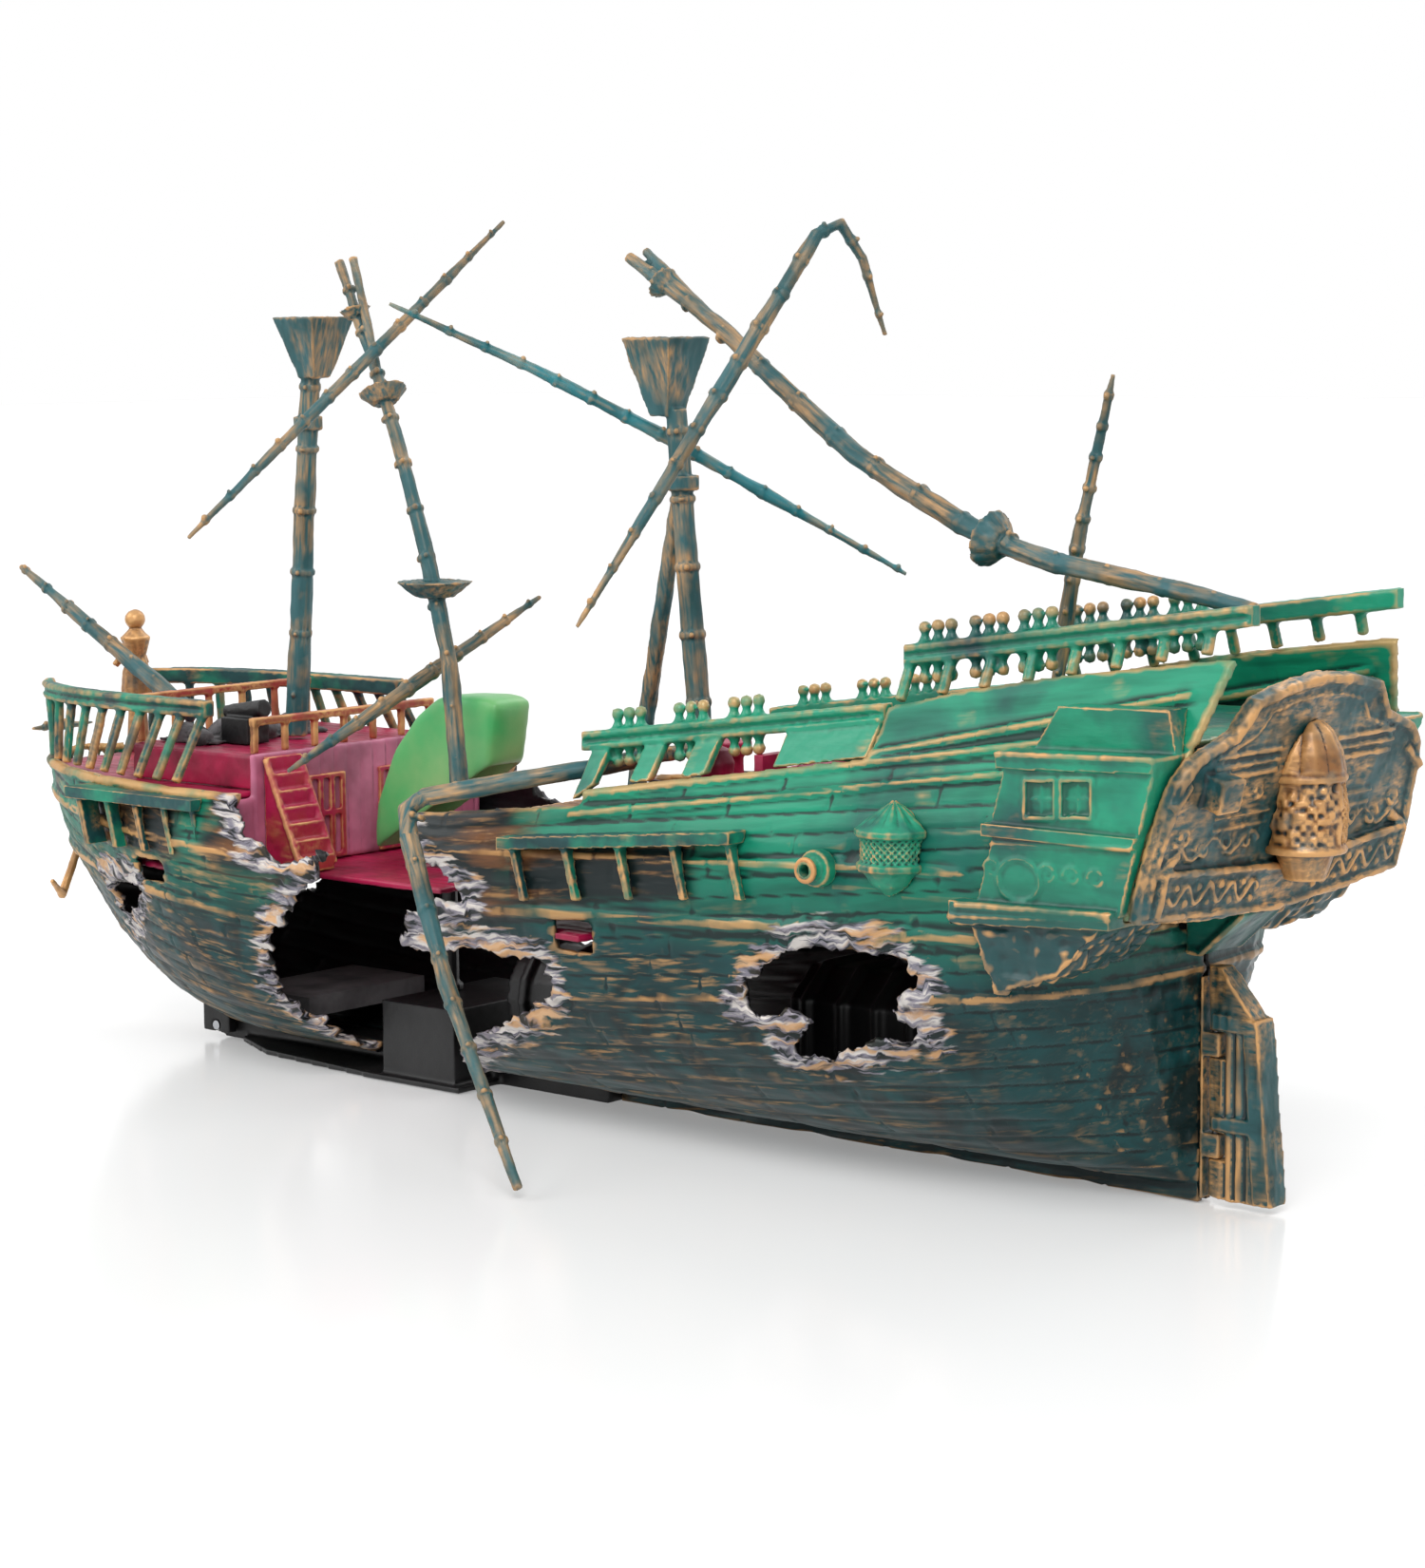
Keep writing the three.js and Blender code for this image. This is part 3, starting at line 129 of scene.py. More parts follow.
# ------------------------------------------------------------------ closed solids, in millimetres
class Solids:
    """Closed solids gathered before they are fused into one moulding."""

    def __init__(self):
        self.points, self.faces = [], []

    def add(self, points, faces):
        start = len(self.points)
        self.points.extend(Vector(p) for p in points)
        self.faces.extend([start + i for i in face] for face in faces)
        return self

    def box(self, low, high):
        points = [[(low, high)[bit][axis] for axis, bit in enumerate(bits)] for bits in product((0, 1), repeat=3)]
        faces = [(0, 1, 3, 2), (4, 6, 7, 5), (0, 4, 5, 1), (2, 3, 7, 6), (0, 2, 6, 4), (1, 5, 7, 3)]
        return self.add(points, faces)

    def bar(self, points, radii, sides=10):
        """A round bar through some points; one radius holds for all of them."""
        points = [Vector(p) for p in points]
        if not hasattr(radii, "__len__"):
            radii = [radii] * len(points)
        span = points[-1] - points[0]
        if span.length < 1e-6:
            span = points[1] - points[0]
        span.normalize()
        reference = Vector((1, 0, 0)) if abs(span.z) > 0.7 else Vector((0, 0, 1))
        ring_points = []
        for i, point in enumerate(points):
            ahead = (points[min(i + 1, len(points) - 1)] - points[max(i - 1, 0)]).normalized()
            across = ahead.cross(reference).normalized()
            other = ahead.cross(across)
            for k in range(sides):
                turn = 2 * math.pi * k / sides
                ring_points.append(point + radii[i] * (math.cos(turn) * across + math.sin(turn) * other))
        faces = [
            (i * sides + k, i * sides + (k + 1) % sides, (i + 1) * sides + (k + 1) % sides, (i + 1) * sides + k)
            for i in range(len(points) - 1) for k in range(sides)
        ]
        last = (len(points) - 1) * sides
        faces += [tuple(range(sides))[::-1], tuple(range(last, last + sides))]
        return self.add(ring_points, faces)

    def turned(self, profile, centre, sides=24, axis="Z", scale=(1, 1)):
        """A shape turned about an upright line, from (radius, height) pairs that start and end on it."""
        rings = [(max(r, 0.02), h) for r, h in profile]
        points = []
        for radius, height in rings:
            for k in range(sides):
                turn = 2 * math.pi * k / sides
                flat = (radius * scale[0] * math.cos(turn), radius * scale[1] * math.sin(turn))
                offset = (flat[0], flat[1], height) if axis == "Z" else (flat[0], height, flat[1])
                points.append(Vector(centre) + Vector(offset))
        count = len(rings)
        faces = [
            (i * sides + k, i * sides + (k + 1) % sides, (i + 1) * sides + (k + 1) % sides, (i + 1) * sides + k)
            for i in range(count - 1) for k in range(sides)
        ]
        faces += [tuple(range(sides))[::-1], tuple(range((count - 1) * sides, count * sides))]
        return self.add(points, faces)

    def ball(self, centre, radius, stretch=1.0):
        arc = [math.pi * i / 8 - math.pi / 2 for i in range(9)]
        return self.turned([(radius * math.cos(a), radius * stretch * math.sin(a)) for a in arc], centre, 16)

    def prism(self, outline, place, near, far):
        """An outline of pairs, carried into space at two depths by place(a, b, depth)."""
        count = len(outline)
        points = [place(a, b, depth) for depth in (near, far) for a, b in outline]
        faces = [(k, (k + 1) % count, count + (k + 1) % count, count + k) for k in range(count)]
        return self.add(points, faces + [tuple(range(count))[::-1], tuple(range(count, 2 * count))])

    def node(self, name):
        """The frame's own solid."""
        mesh = frame["nodes"][name].data
        return self.add([v.co / MM for v in mesh.vertices], [tuple(p.vertices) for p in mesh.polygons])


# ------------------------------------------------------------------ relief
def hashed(values, seed=0):
    """A fixed number from 0 to 1 for each whole number."""
    return np.modf(np.abs(np.sin((np.asarray(values) + 17.13 * seed) * 12.9898) * 43758.5453))[0]


def lattice_noise(points, size, seed=0):
    """Smooth noise from -1 to 1 whose features are `size` across, in the points' own units."""
    scaled = points / size
    cell = np.floor(scaled).astype(np.int64)
    part = scaled - cell
    part = part * part * (3 - 2 * part)
    total = np.zeros(len(points))
    for corner in product((0, 1), repeat=3):
        key = cell + np.array(corner)
        mixed = (key[:, 0] * 73856093) ^ (key[:, 1] * 19349663) ^ (key[:, 2] * 83492791) ^ (seed * 2654435761)
        mixed = (mixed ^ (mixed >> 13)) & 0xFFFFFFFF
        mixed = (mixed * 1274126177) & 0xFFFFFFFF
        value = ((mixed ^ (mixed >> 16)) & 0xFFFF) / 32767.5 - 1
        weight = np.prod(np.where(np.array(corner) == 1, part, 1 - part), axis=1)
        total += weight * value
    return total


def smoothstep(low, high, values):
    t = np.clip((values - low) / (high - low), 0, 1)
    return t * t * (3 - 2 * t)


def read_vectors(collection, attribute, count):
    flat = np.empty(count * 3, dtype=np.float32)
    collection.foreach_get(attribute, flat)
    return flat.reshape(-1, 3).astype(np.float64)


def raised(mesh, points, normals, rounds=6):
    """How far each point stands out from its surroundings, in millimetres; hollows are below zero."""
    edges = np.empty(len(mesh.edges) * 2, dtype=np.int64)
    mesh.edges.foreach_get("vertices", edges)
    first, second = edges.reshape(-1, 2).T
    count = len(points)
    share = np.maximum(np.bincount(first, minlength=count) + np.bincount(second, minlength=count), 1)
    calm = points.copy()
    for _ in range(rounds):
        for axis in range(3):
            total = np.bincount(first, calm[second, axis], count) + np.bincount(second, calm[first, axis], count)
            calm[:, axis] = total / share
    return np.einsum("ij,ij->i", points - calm, normals)


def store(mesh, name, values):
    layer = mesh.attributes.new(name, "FLOAT", "POINT")
    layer.data.foreach_set("value", np.ascontiguousarray(values, dtype=np.float32))


def moulding(name, body, material, solids, voxel=0.6, calm=1, relief=None, replaces=(), slot=None, inside=0,
             grain=(0.2, 1, 1)):
    """Fuses solids into one skin, works its relief and marks what the paint follows."""
    raw = bpy.data.meshes.new(name + "_raw")
    raw.from_pydata([p * MM for p in solids.points], [], solids.faces)
    holder = bpy.data.objects.new(name + "_raw", raw)
    bpy.context.collection.objects.link(holder)
    fuse = holder.modifiers.new("fuse", "REMESH")
    fuse.mode = "VOXEL"
    fuse.voxel_size = voxel * MM * 1
    fuse.use_smooth_shade = True
    soften = holder.modifiers.new("soften", "SMOOTH")
    soften.factor = 0.5
    soften.iterations = calm
    graph = bpy.context.evaluated_depsgraph_get()
    mesh = bpy.data.meshes.new_from_object(holder.evaluated_get(graph))
    bpy.data.objects.remove(holder)
    bpy.data.meshes.remove(raw)
    if not mesh.vertices:
        raise RuntimeError(name + " came out empty")

    count = len(mesh.vertices)
    points = read_vectors(mesh.vertices, "co", count) / MM
    normals = read_vectors(mesh.vertex_normals, "vector", count)
    marks = {"torn": np.zeros(count), "bare": np.zeros(count)}
    grain = points * np.array(grain)
    if relief:
        shift, found = relief(points, normals)
        grain = found.pop("grain", grain)
        marks.update(found)
        points = points + shift
    low, high = (np.array(corner) / MM for corner in CAD_BOX)
    points = np.clip(points, low + 0.01, high - 0.01)
    mesh.vertices.foreach_set("co", (points * MM).astype(np.float32).ravel())
    mesh.update()
    normals = read_vectors(mesh.vertex_normals, "vector", count)
    store(mesh, "relief", np.clip(raised(mesh, points, normals) / 0.35, -1, 1))
    for mark, values in marks.items():
        store(mesh, mark, values)
    layer = mesh.attributes.new("grain", "FLOAT_VECTOR", "POINT")
    layer.data.foreach_set("vector", (grain * MM).astype(np.float32).ravel())
    # Inside mark: faces turned towards the centreline, below the given height; the hull paints them black, as painted
    # shade inside the hull.
    turned_in = smoothstep(-0.15, 0.2, -np.sign(points[:, 1]) * normals[:, 1])
    store(mesh, "inside", turned_in * (1 - smoothstep(inside - 4, inside + 4, points[:, 2])))
    mesh.name = name
    mesh.materials.clear()
    mesh.materials.append(material)
    mesh.polygons.foreach_set("use_smooth", np.ones(len(mesh.polygons), dtype=bool))
    piece = bpy.data.objects.new(name, mesh)
    bpy.context.collection.objects.link(piece)
    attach(piece, body)
    if replaces:
        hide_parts(*replaces)
    return piece


def slot_of(node):
    return next(part["material_slot"] for part in frame["record"]["subparts"] if part["node"] == node)


def remould(node, material, extras=None, **settings):
    """A moulding that takes the place of one frame node, with its fittings added."""
    solids = Solids().node(node)
    if extras:
        extras(solids)
    return moulding(node + "_moulding", BODY_OF[node], material, solids, replaces=(node,), **settings)


def seams(across, along, row, plank_length, width):
    """1 on the seams between planks and on their butt joints, 0 elsewhere."""
    seam = np.exp(-(across / width) ** 2)
    place = along / plank_length + hashed(row)
    butt = np.abs(place - np.round(place)) * plank_length
    return np.maximum(seam, 0.8 * np.exp(-(butt / width) ** 2))


def hull_sheer(x):
    """The planks rise a little towards both ends."""
    return 0.115 * np.maximum(x, 0) + 0.0010 * np.maximum(-60 - x, 0) ** 2


# Raised wales along the hull: [x0, z0, x1, z1, half width, height].
STERN_WALES = [
    (-20, 61, 226, 74, 1.7, 0.9), (-12, 35, 226, 61, 1.5, 0.8), (48, 91, 232, 118, 1.0, 0.7),
    (48, 96, 232, 125, 1.0, 0.7), (130, 110, 240, 133.5, 1.1, 0.8), (-16, 77, 184, 88, 1.3, 0.7),
]
BOW_WALES = [(-221, 78, -42, 66, 1.7, 0.9), (-216, 60, -60, 50, 1.5, 0.8), (-222, 86, -80, 85, 1.2, 0.7)]


def torn_edges(points, outlines):
    """Distance to the nearest broken edge, and the way that edge looks, in x and z."""
    flat = points[:, (0, 2)]
    nearest = np.full(len(flat), 1e9)
    facing = np.zeros((len(flat), 2))
    for outline in outlines:
        ring = np.array(outline, dtype=float)
        after = np.roll(ring, -1, axis=0)
        turn = np.sign(np.sum(ring[:, 0] * after[:, 1] - after[:, 0] * ring[:, 1]))
        for start, step in zip(ring, after - ring):
            share = np.clip((flat - start) @ step / (step @ step), 0, 1)
            away = np.linalg.norm(flat - start - share[:, None] * step, axis=1)
            nearer = away < nearest
            nearest[nearer] = away[nearer]
            facing[nearer] = turn * np.array([-step[1], step[0]]) / np.linalg.norm(step)
    return nearest, facing


def bare_wood_and_channel_shade(x, z, points):
    """Where planks have lost their paint by the break, and painted shade: the dark pockets under the channels."""
    edge = 4 * lattice_noise(points, 6.0, 31)
    waist = smoothstep(40, 22, x + edge) * smoothstep(52, 60, z) * (x > -30)
    fore = smoothstep(-98, -90, x + edge) * smoothstep(60, 68, z) * (x < -45)
    found = np.maximum(waist, fore)
    # Painted shade: a band under each channel's ledge gets the dark bare-wood tone, where the ledge shades the planks.
    for start, end, slope in ((30, 100, 0.1), (-156, -104, 0.0)):
        ledge = 81 + slope * (x - start)
        under = (z < ledge) * smoothstep(ledge - 17, ledge - 13, z)
        found = np.maximum(found, (x > start) * smoothstep(end, end - 8, x) * under)
    return found


def hull_relief(wales, outlines):
    sizes = bpy.context.scene.shipwreck_sizes
    pitch, depth, splinter, reach = (
        value / MM for value in (sizes.plank, sizes.seam, sizes.splinter, sizes.torn_reach))

    def relief(points, normals):
        x, y, z = points.T
        height = z - hull_sheer(x)
        row = np.floor(height / pitch)
        across = (0.5 - np.abs(height / pitch - row - 0.5)) * pitch
        boards = smoothstep(94, 99, z - 0.13 * (x - 42)) * smoothstep(38, 46, x)
        out = -depth * seams(across, x, row, 34.0, 0.55) * (1 - 0.85 * boards)
        for x0, z0, x1, z1, half, rise in wales:
            line = z0 + (x - x0) * (z1 - z0) / (x1 - x0)
            within = smoothstep(x0 - 2, x0 + 2, x) * (1 - smoothstep(x1 - 2, x1 + 2, x))
            out += (rise + depth * 0.5) * np.exp(-((z - line) / half) ** 4) * within
        out += 0.07 * lattice_noise(points * np.array([0.35, 1, 1]), 2.2, 3)
        low = 1 - smoothstep(52, 72, z)
        out += low * 0.28 * lattice_noise(points * np.array([0.14, 1, 1]), 2.2, 5)
        distance, facing = torn_edges(points, outlines)
        near = np.clip(1 - distance / reach, 0, 1)
        by_row = hashed(np.floor(height / (pitch * 0.33)), 2) * 1.5 - 0.8
        ripple = lattice_noise(points * np.array([0.5, 1, 1]), 4.5, 8) + 0.5 * lattice_noise(points, 1.8, 9)
        jag = np.abs(facing[:, 0]) * by_row + np.abs(facing[:, 1]) * 0.5 * ripple + 0.25 * ripple
        away = np.stack([facing[:, 0], np.zeros(len(points)), facing[:, 1]], axis=1)
        shift = normals * out[:, None] + away * (splinter * jag * near ** 1.5)[:, None]
        shift += near[:, None] * 0.35 * np.stack([lattice_noise(points, 1.6, s) for s in (11, 12, 13)], axis=1)
        marks = {"torn": near, "bare": bare_wood_and_channel_shade(x, z, points)}
        return shift, {**marks, "grain": np.stack([0.13 * x, y, height], axis=1)}

    return relief


def plank_relief(axis, pitch, depth=0.35, width=0.4, plank_length=30.0, grain=0.12, normal_axis=2):
    """Seams of planks laid side by side along one axis of a deck or wall."""
    along = 1 - axis if axis < 2 else 1

    def relief(points, normals):
        row = np.floor(points[:, axis] / pitch)
        across = np.abs(points[:, axis] / pitch - row - 0.5)
        line = seams((0.5 - across) * pitch, points[:, along], row, plank_length, width)
        flat = np.abs(normals[:, normal_axis]) > 0.6
        out = -depth * line * flat + grain * lattice_noise(points, 1.8, 4)
        return normals * out[:, None], {}

    return relief


def weathered(amount, size, seed=1):
    def relief(points, normals):
        out = amount * lattice_noise(points, size, seed) + 0.5 * amount * lattice_noise(points, size / 2.3, seed + 9)
        return normals * out[:, None], {}

    return relief


# ------------------------------------------------------------------ materials
def put(tree, kind, links=None, **settings):
    """Adds a node, sets it up and feeds its sockets with values or with other sockets."""
    node = tree.nodes.new(kind)
    for key, value in settings.items():
        setattr(node, key, value)
    for key, value in (links or {}).items():
        socket = node.inputs[key]
        if isinstance(value, bpy.types.NodeSocket):
            tree.links.new(value, socket)
        else:
            socket.default_value = value
    return node


def paint_values(name):
    return (*getattr(bpy.context.scene.shipwreck_paint, name), 1.0)


def painted_plastic(name, base, shade, *, gold=0.8, wash=0.9, patch_mm=22, roughness=0.5, edge=(0.2, 0.6),
                    height_fade=None, torn=False, inner_shade=None, rub=0.3, run_mm=5, swirl=0.0):
    """Injection-moulded plastic with a dark wash and dry-brushed high spots.

    The wash makes seams read as deep, and the brushed gold makes every edge and plank stand out.
    """
    material = bpy.data.materials.new(name)
    material.use_nodes = True
    tree = material.node_tree
    shader = tree.nodes["Principled BSDF"]
    place = put(tree, "ShaderNodeTexCoord").outputs["Object"]
    relief = put(tree, "ShaderNodeAttribute", attribute_name="relief").outputs["Fac"]
    along = put(tree, "ShaderNodeAttribute", attribute_name="grain").outputs["Vector"]

    def noise(vector, size, detail=4, distortion=0.0):
        settings = {"Vector": vector, "Scale": 1 / (size * MM), "Detail": detail, "Distortion": distortion}
        return put(tree, "ShaderNodeTexNoise", settings).outputs["Fac"]

    def ramp(value, low, high, start=0.0, end=1.0):
        return put(tree, "ShaderNodeMapRange", {0: value, 1: low, 2: high, 3: start, 4: end}).outputs[0]

    def both(kind, a, b):
        return put(tree, "ShaderNodeMath", {0: a, 1: b}, operation=kind, use_clamp=True).outputs[0]

    def over(amount, under, paint):
        paint = paint_values(paint) if isinstance(paint, str) else paint
        under = paint_values(under) if isinstance(under, str) else under
        return put(tree, "ShaderNodeMix", {0: amount, 6: under, 7: paint}, data_type="RGBA").outputs[2]

    # Sprayed base: the second colour lies in soft clouds, and deepens towards the keel.
    clouds = ramp(noise(place, patch_mm, 4, swirl), 0.45, 0.7)
    if height_fade:
        upright = put(tree, "ShaderNodeSeparateXYZ", {0: place}).outputs["Z"]
        clouds = both("MAXIMUM", clouds, ramp(upright, height_fade[0] * MM, height_fade[1] * MM))
    tint = over(clouds, base, shade)

    # Dark wash: it pools in hollows, and runs along the planks.
    runs = noise(along, run_mm, 5)
    stain = ramp(runs, 0.48, 0.72, 0, 0.5 * wash)
    hollow = ramp(relief, -0.1, -0.7, 0, wash)
    if height_fade:
        swirls = ramp(noise(place, 34, 3, 2.5), 0.36, 0.6, 0, 0.85)
        stain = both("MAXIMUM", stain, both("MULTIPLY", swirls, ramp(upright, 0.07, 0.045)))
    tint = over(both("MAXIMUM", stain, hollow), tint, "teal_black")

    if torn:
        # Bare planks by the break take a brown and black wood tone; under the channels the same tone is painted shade.
        bare = put(tree, "ShaderNodeAttribute", attribute_name="bare").outputs["Fac"]
        wood_and_shade_tone = over(ramp(runs, 0.5, 0.66), "teal_black", "plank_brown")
        tint = over(bare, tint, wood_and_shade_tone)
        rub_more = 0.0
        if height_fade:
            # The run aft was brushed less than the middle of the ship.
            forward = ramp(put(tree, "ShaderNodeSeparateXYZ", {0: place}).outputs["X"], 0.19, 0.13, 0.2, 1.0)
            rub_more = both("MULTIPLY", ramp(upright, 0.074, 0.058), forward)

    # Dry brushing: bristle marks on raised edges, and a light rub over some patches.
    worn = noise(place, 15, 3)
    bristle = noise(along, 1.3, 3)
    on_edge = both("MULTIPLY", ramp(relief, *edge), ramp(worn, 0.34, 0.56, 0.1, 1.0))
    rubbed = both("MULTIPLY", ramp(worn, 0.62 - 0.3 * rub, 0.8 - 0.3 * rub), ramp(bristle, 0.36, 0.72))
    if torn:
        low_rub = both("MULTIPLY", ramp(bristle, 0.5, 0.66), ramp(runs, 0.44, 0.6, 0, 0.6))
        rubbed = both("MAXIMUM", rubbed, both("MULTIPLY", low_rub, both("MAXIMUM", rub_more, bare)))
    dry = ramp(relief, -0.05, -0.4, 1.0, 0.0)
    brushed_on = both("MULTIPLY", both("MULTIPLY", both("MAXIMUM", on_edge, rubbed), dry), gold)
    tint = over(brushed_on, tint, "gold")

    if torn:
        # Splintered wood: bone and lilac-grey flecks over black, thickest at the broken edge.
        near = put(tree, "ShaderNodeAttribute", attribute_name="torn").outputs["Fac"]
        flecks = noise(along, 2.6, 6)
        ragged = put(tree, "ShaderNodeMath", {0: flecks, 1: 1.7, 2: near}, operation="MULTIPLY_ADD").outputs[0]
        cover = ramp(ragged, 1.3, 1.45)
        tones = noise(along, 1.6, 6, 0.6)
        chip = over(ramp(tones, 0.5, 0.58), "lilac_grey", "bone")
        chip = over(ramp(tones, 0.47, 0.41), chip, "teal_black")
        chip = over(ramp(noise(along, 3.2, 5), 0.55, 0.62, 0, 0.8), chip, "gold")
        shader.inputs["Specular IOR Level"].default_value = 0.3
        tint = over(both("MULTIPLY", cover, 0.95), tint, chip)
    # Painted shade: faces inside the hull, below the deck, take a flat dark colour.
    if inner_shade:
        within = put(tree, "ShaderNodeAttribute", attribute_name="inside").outputs["Fac"]
        tint = over(within, tint, inner_shade)
    tree.links.new(tint, shader.inputs["Base Color"])

    tree.links.new(ramp(brushed_on, 0, 1, 0, 0.3), shader.inputs["Metallic"])
    tree.links.new(ramp(runs, 0.3, 0.7, roughness - 0.1, roughness + 0.12), shader.inputs["Roughness"])
    shader.inputs["IOR"].default_value = 1.5
    bump = put(tree, "ShaderNodeBump", {"Strength": 0.3, "Distance": 0.2 * MM, "Height": noise(along, 0.9, 4)})
    tree.links.new(bump.outputs[0], shader.inputs["Normal"])
    return material


def plain_plastic(name, base, shade, roughness, patch_mm=14, grain_mm=0.7, bump=0.2, coat=0.0):
    """Self-coloured moulded plastic: even colour, with the faint mottling and grain of a tool surface, and painted
    shade in its hollows.
    """
    material = bpy.data.materials.new(name)
    material.use_nodes = True
    tree = material.node_tree
    shader = tree.nodes["Principled BSDF"]
    place = put(tree, "ShaderNodeTexCoord").outputs["Object"]
    relief = put(tree, "ShaderNodeAttribute", attribute_name="relief").outputs["Fac"]
    mottle = put(tree, "ShaderNodeTexNoise", {"Vector": place, "Scale": 1 / (patch_mm * MM), "Detail": 4})
    amount = put(tree, "ShaderNodeMapRange", {0: mottle.outputs["Fac"], 1: 0.4, 2: 0.66}).outputs[0]
    # Painted shade: hollows and seams are darkened towards the shade colour, the same darker colour as the mottling.
    hollow = put(tree, "ShaderNodeMapRange", {0: relief, 1: -0.1, 2: -0.7, 3: 0, 4: 1}).outputs[0]
    amount = put(tree, "ShaderNodeMath", {0: amount, 1: hollow}, operation="MAXIMUM").outputs[0]
    tint = put(tree, "ShaderNodeMix", {0: amount, 6: paint_values(base), 7: shade}, data_type="RGBA").outputs[2]
    tree.links.new(tint, shader.inputs["Base Color"])
    grain = put(tree, "ShaderNodeTexNoise", {"Vector": place, "Scale": 1 / (grain_mm * MM), "Detail": 3})
    rough = put(tree, "ShaderNodeMapRange",
                {0: mottle.outputs["Fac"], 1: 0.3, 2: 0.7, 3: roughness - 0.06, 4: roughness + 0.08}).outputs[0]
    tree.links.new(rough, shader.inputs["Roughness"])
    shader.inputs["Coat Weight"].default_value = coat
    shader.inputs["IOR"].default_value = 1.5
    relief_bump = put(tree, "ShaderNodeBump",
                      {"Strength": bump, "Distance": 0.2 * MM, "Height": grain.outputs["Fac"]})
    tree.links.new(relief_bump.outputs[0], shader.inputs["Normal"])
    return material


# A darker copy of a paint, used for the mottling and for the painted shade in the hollows of plain plastic.
def darker(name, share):
    return (*(share * part for part in getattr(bpy.context.scene.shipwreck_paint, name)), 1.0)


def drawn_steel():
    """Stainless wire, drawn: bright, with fine lines along it."""
    material = bpy.data.materials.new("drawn_stainless_steel")
    material.use_nodes = True
    tree = material.node_tree
    shader = tree.nodes["Principled BSDF"]
    shader.inputs["Metallic"].default_value = 1.0
    shader.inputs["Base Color"].default_value = (*linear("#b4b6ba"), 1.0)
    place = put(tree, "ShaderNodeTexCoord").outputs["Object"]
    lines = put(tree, "ShaderNodeTexNoise", {"Vector": place, "Scale": 1 / (0.6 * MM), "Detail": 3})
    rough = put(tree, "ShaderNodeMapRange", {0: lines.outputs["Fac"], 3: 0.2, 4: 0.4}).outputs[0]
    tree.links.new(rough, shader.inputs["Roughness"])
    return material


MAKERS = {
    "stern_hull": lambda: painted_plastic(
        "sea_green_moulded_abs", "sea_green", "deep_teal", height_fade=(98, 58), torn=True, inner_shade="black",
        gold=0.85, patch_mm=46, rub=0.0, edge=(0.5, 1.1), roughness=0.38, swirl=0.6),
    "bow_hull": lambda: painted_plastic(
        "deep_teal_moulded_abs", "sea_green", "deep_teal", height_fade=(96, 46), torn=True, inner_shade="black",
        gold=0.85, patch_mm=26, rub=0.3, edge=(0.4, 0.9), roughness=0.45, swirl=1.0),
    "green_trim": lambda: painted_plastic(
        "sea_green_moulded_trim", "sea_green", "deep_teal", gold=0.8, wash=0.5, patch_mm=45, rub=0.0,
        edge=(0.45, 0.9), roughness=0.38),
    "gallery": lambda: painted_plastic(
        "sea_green_moulded_gallery", "sea_green", "deep_teal", gold=0.9, wash=0.6, patch_mm=30, rub=0.0,
        edge=(0.25, 0.7), roughness=0.38, height_fade=(92, 76)),
    "teal_trim": lambda: painted_plastic(
        "teal_dry_brushed_trim", "deep_teal", "sea_green", gold=0.9, patch_mm=16, rub=0.1, edge=(0.4, 0.9)),
    "gilt": lambda: painted_plastic(
        "gold_brushed_over_teal_abs", "deep_teal", "slate", gold=0.95, wash=0.9, patch_mm=14, rub=0.7,
        edge=(0.1, 0.5), roughness=0.45, run_mm=6),
    "full_gold": lambda: painted_plastic(
        "gold_painted_abs", "gold_shadow", "slate", gold=1.0, wash=1.0, patch_mm=9, rub=0.9, edge=(-0.1, 0.3),
        roughness=0.36, run_mm=3),
    "spar": lambda: painted_plastic(
        "slate_teal_moulded_spar", "slate", "deep_teal", gold=0.75, wash=0.6, patch_mm=22, rub=0.7,
        edge=(0.25, 0.8), roughness=0.5, run_mm=3),
    "yard": lambda: painted_plastic(
        "teal_moulded_yard", "yard_teal", "deep_teal", gold=0.7, wash=0.4, patch_mm=24, rub=0.35,
        edge=(0.35, 0.9), roughness=0.45),
    "waist": lambda: painted_plastic(
        "brown_washed_planks", "plank_brown", "teal_black", gold=0.85, patch_mm=14, rub=0.5, torn=True),
    "turret": lambda: painted_plastic(
        "green_abs_with_gilt_lattice", "sea_green", "deep_teal", gold=1.0, wash=0.8, patch_mm=10, rub=0.1,
        edge=(0.3, 0.8)),
    "magenta": lambda: plain_plastic("magenta_moulded_abs", "magenta", darker("magenta", 0.45), 0.42),
    "pink": lambda: plain_plastic("pink_moulded_abs", "pink", darker("pink", 0.5), 0.45, patch_mm=22),
    "magenta_gilt": lambda: painted_plastic(
        "magenta_abs_with_gilt_edges", "magenta", "red", gold=0.9, wash=0.2, patch_mm=14, rub=0.1,
        edge=(0.3, 0.8)),
    "red": lambda: painted_plastic(
        "red_abs_with_gilt_edges", "red", "plank_brown", gold=1.0, wash=0.3, patch_mm=12, rub=0.6,
        edge=(0.15, 0.6)),
    "bell": lambda: plain_plastic("light_green_moulded_abs", "bell_green", paint_values("bell_edge"), 0.35,
                                  patch_mm=34),
    "black": lambda: plain_plastic("black_moulded_abs", "black", darker("black", 0.5), 0.45),
    "stone": lambda: plain_plastic("grey_cast_stone_heap", "grey_stone", darker("grey_stone", 0.2), 0.85,
                                   patch_mm=5, bump=0.8),
    "iron": lambda: plain_plastic("grey_cast_iron_weight", "grey_stone", darker("grey_stone", 0.4), 0.7),
    "steel": drawn_steel,
}
made = {}


def material(key):
    if key not in made:
        made[key] = MAKERS[key]()
    return made[key]


# ------------------------------------------------------------------ where things stand on the frame
def probe(node):
    mesh = frame["nodes"][node].data
    return BVHTree.FromPolygons([v.co / MM for v in mesh.vertices], [tuple(p.vertices) for p in mesh.polygons])


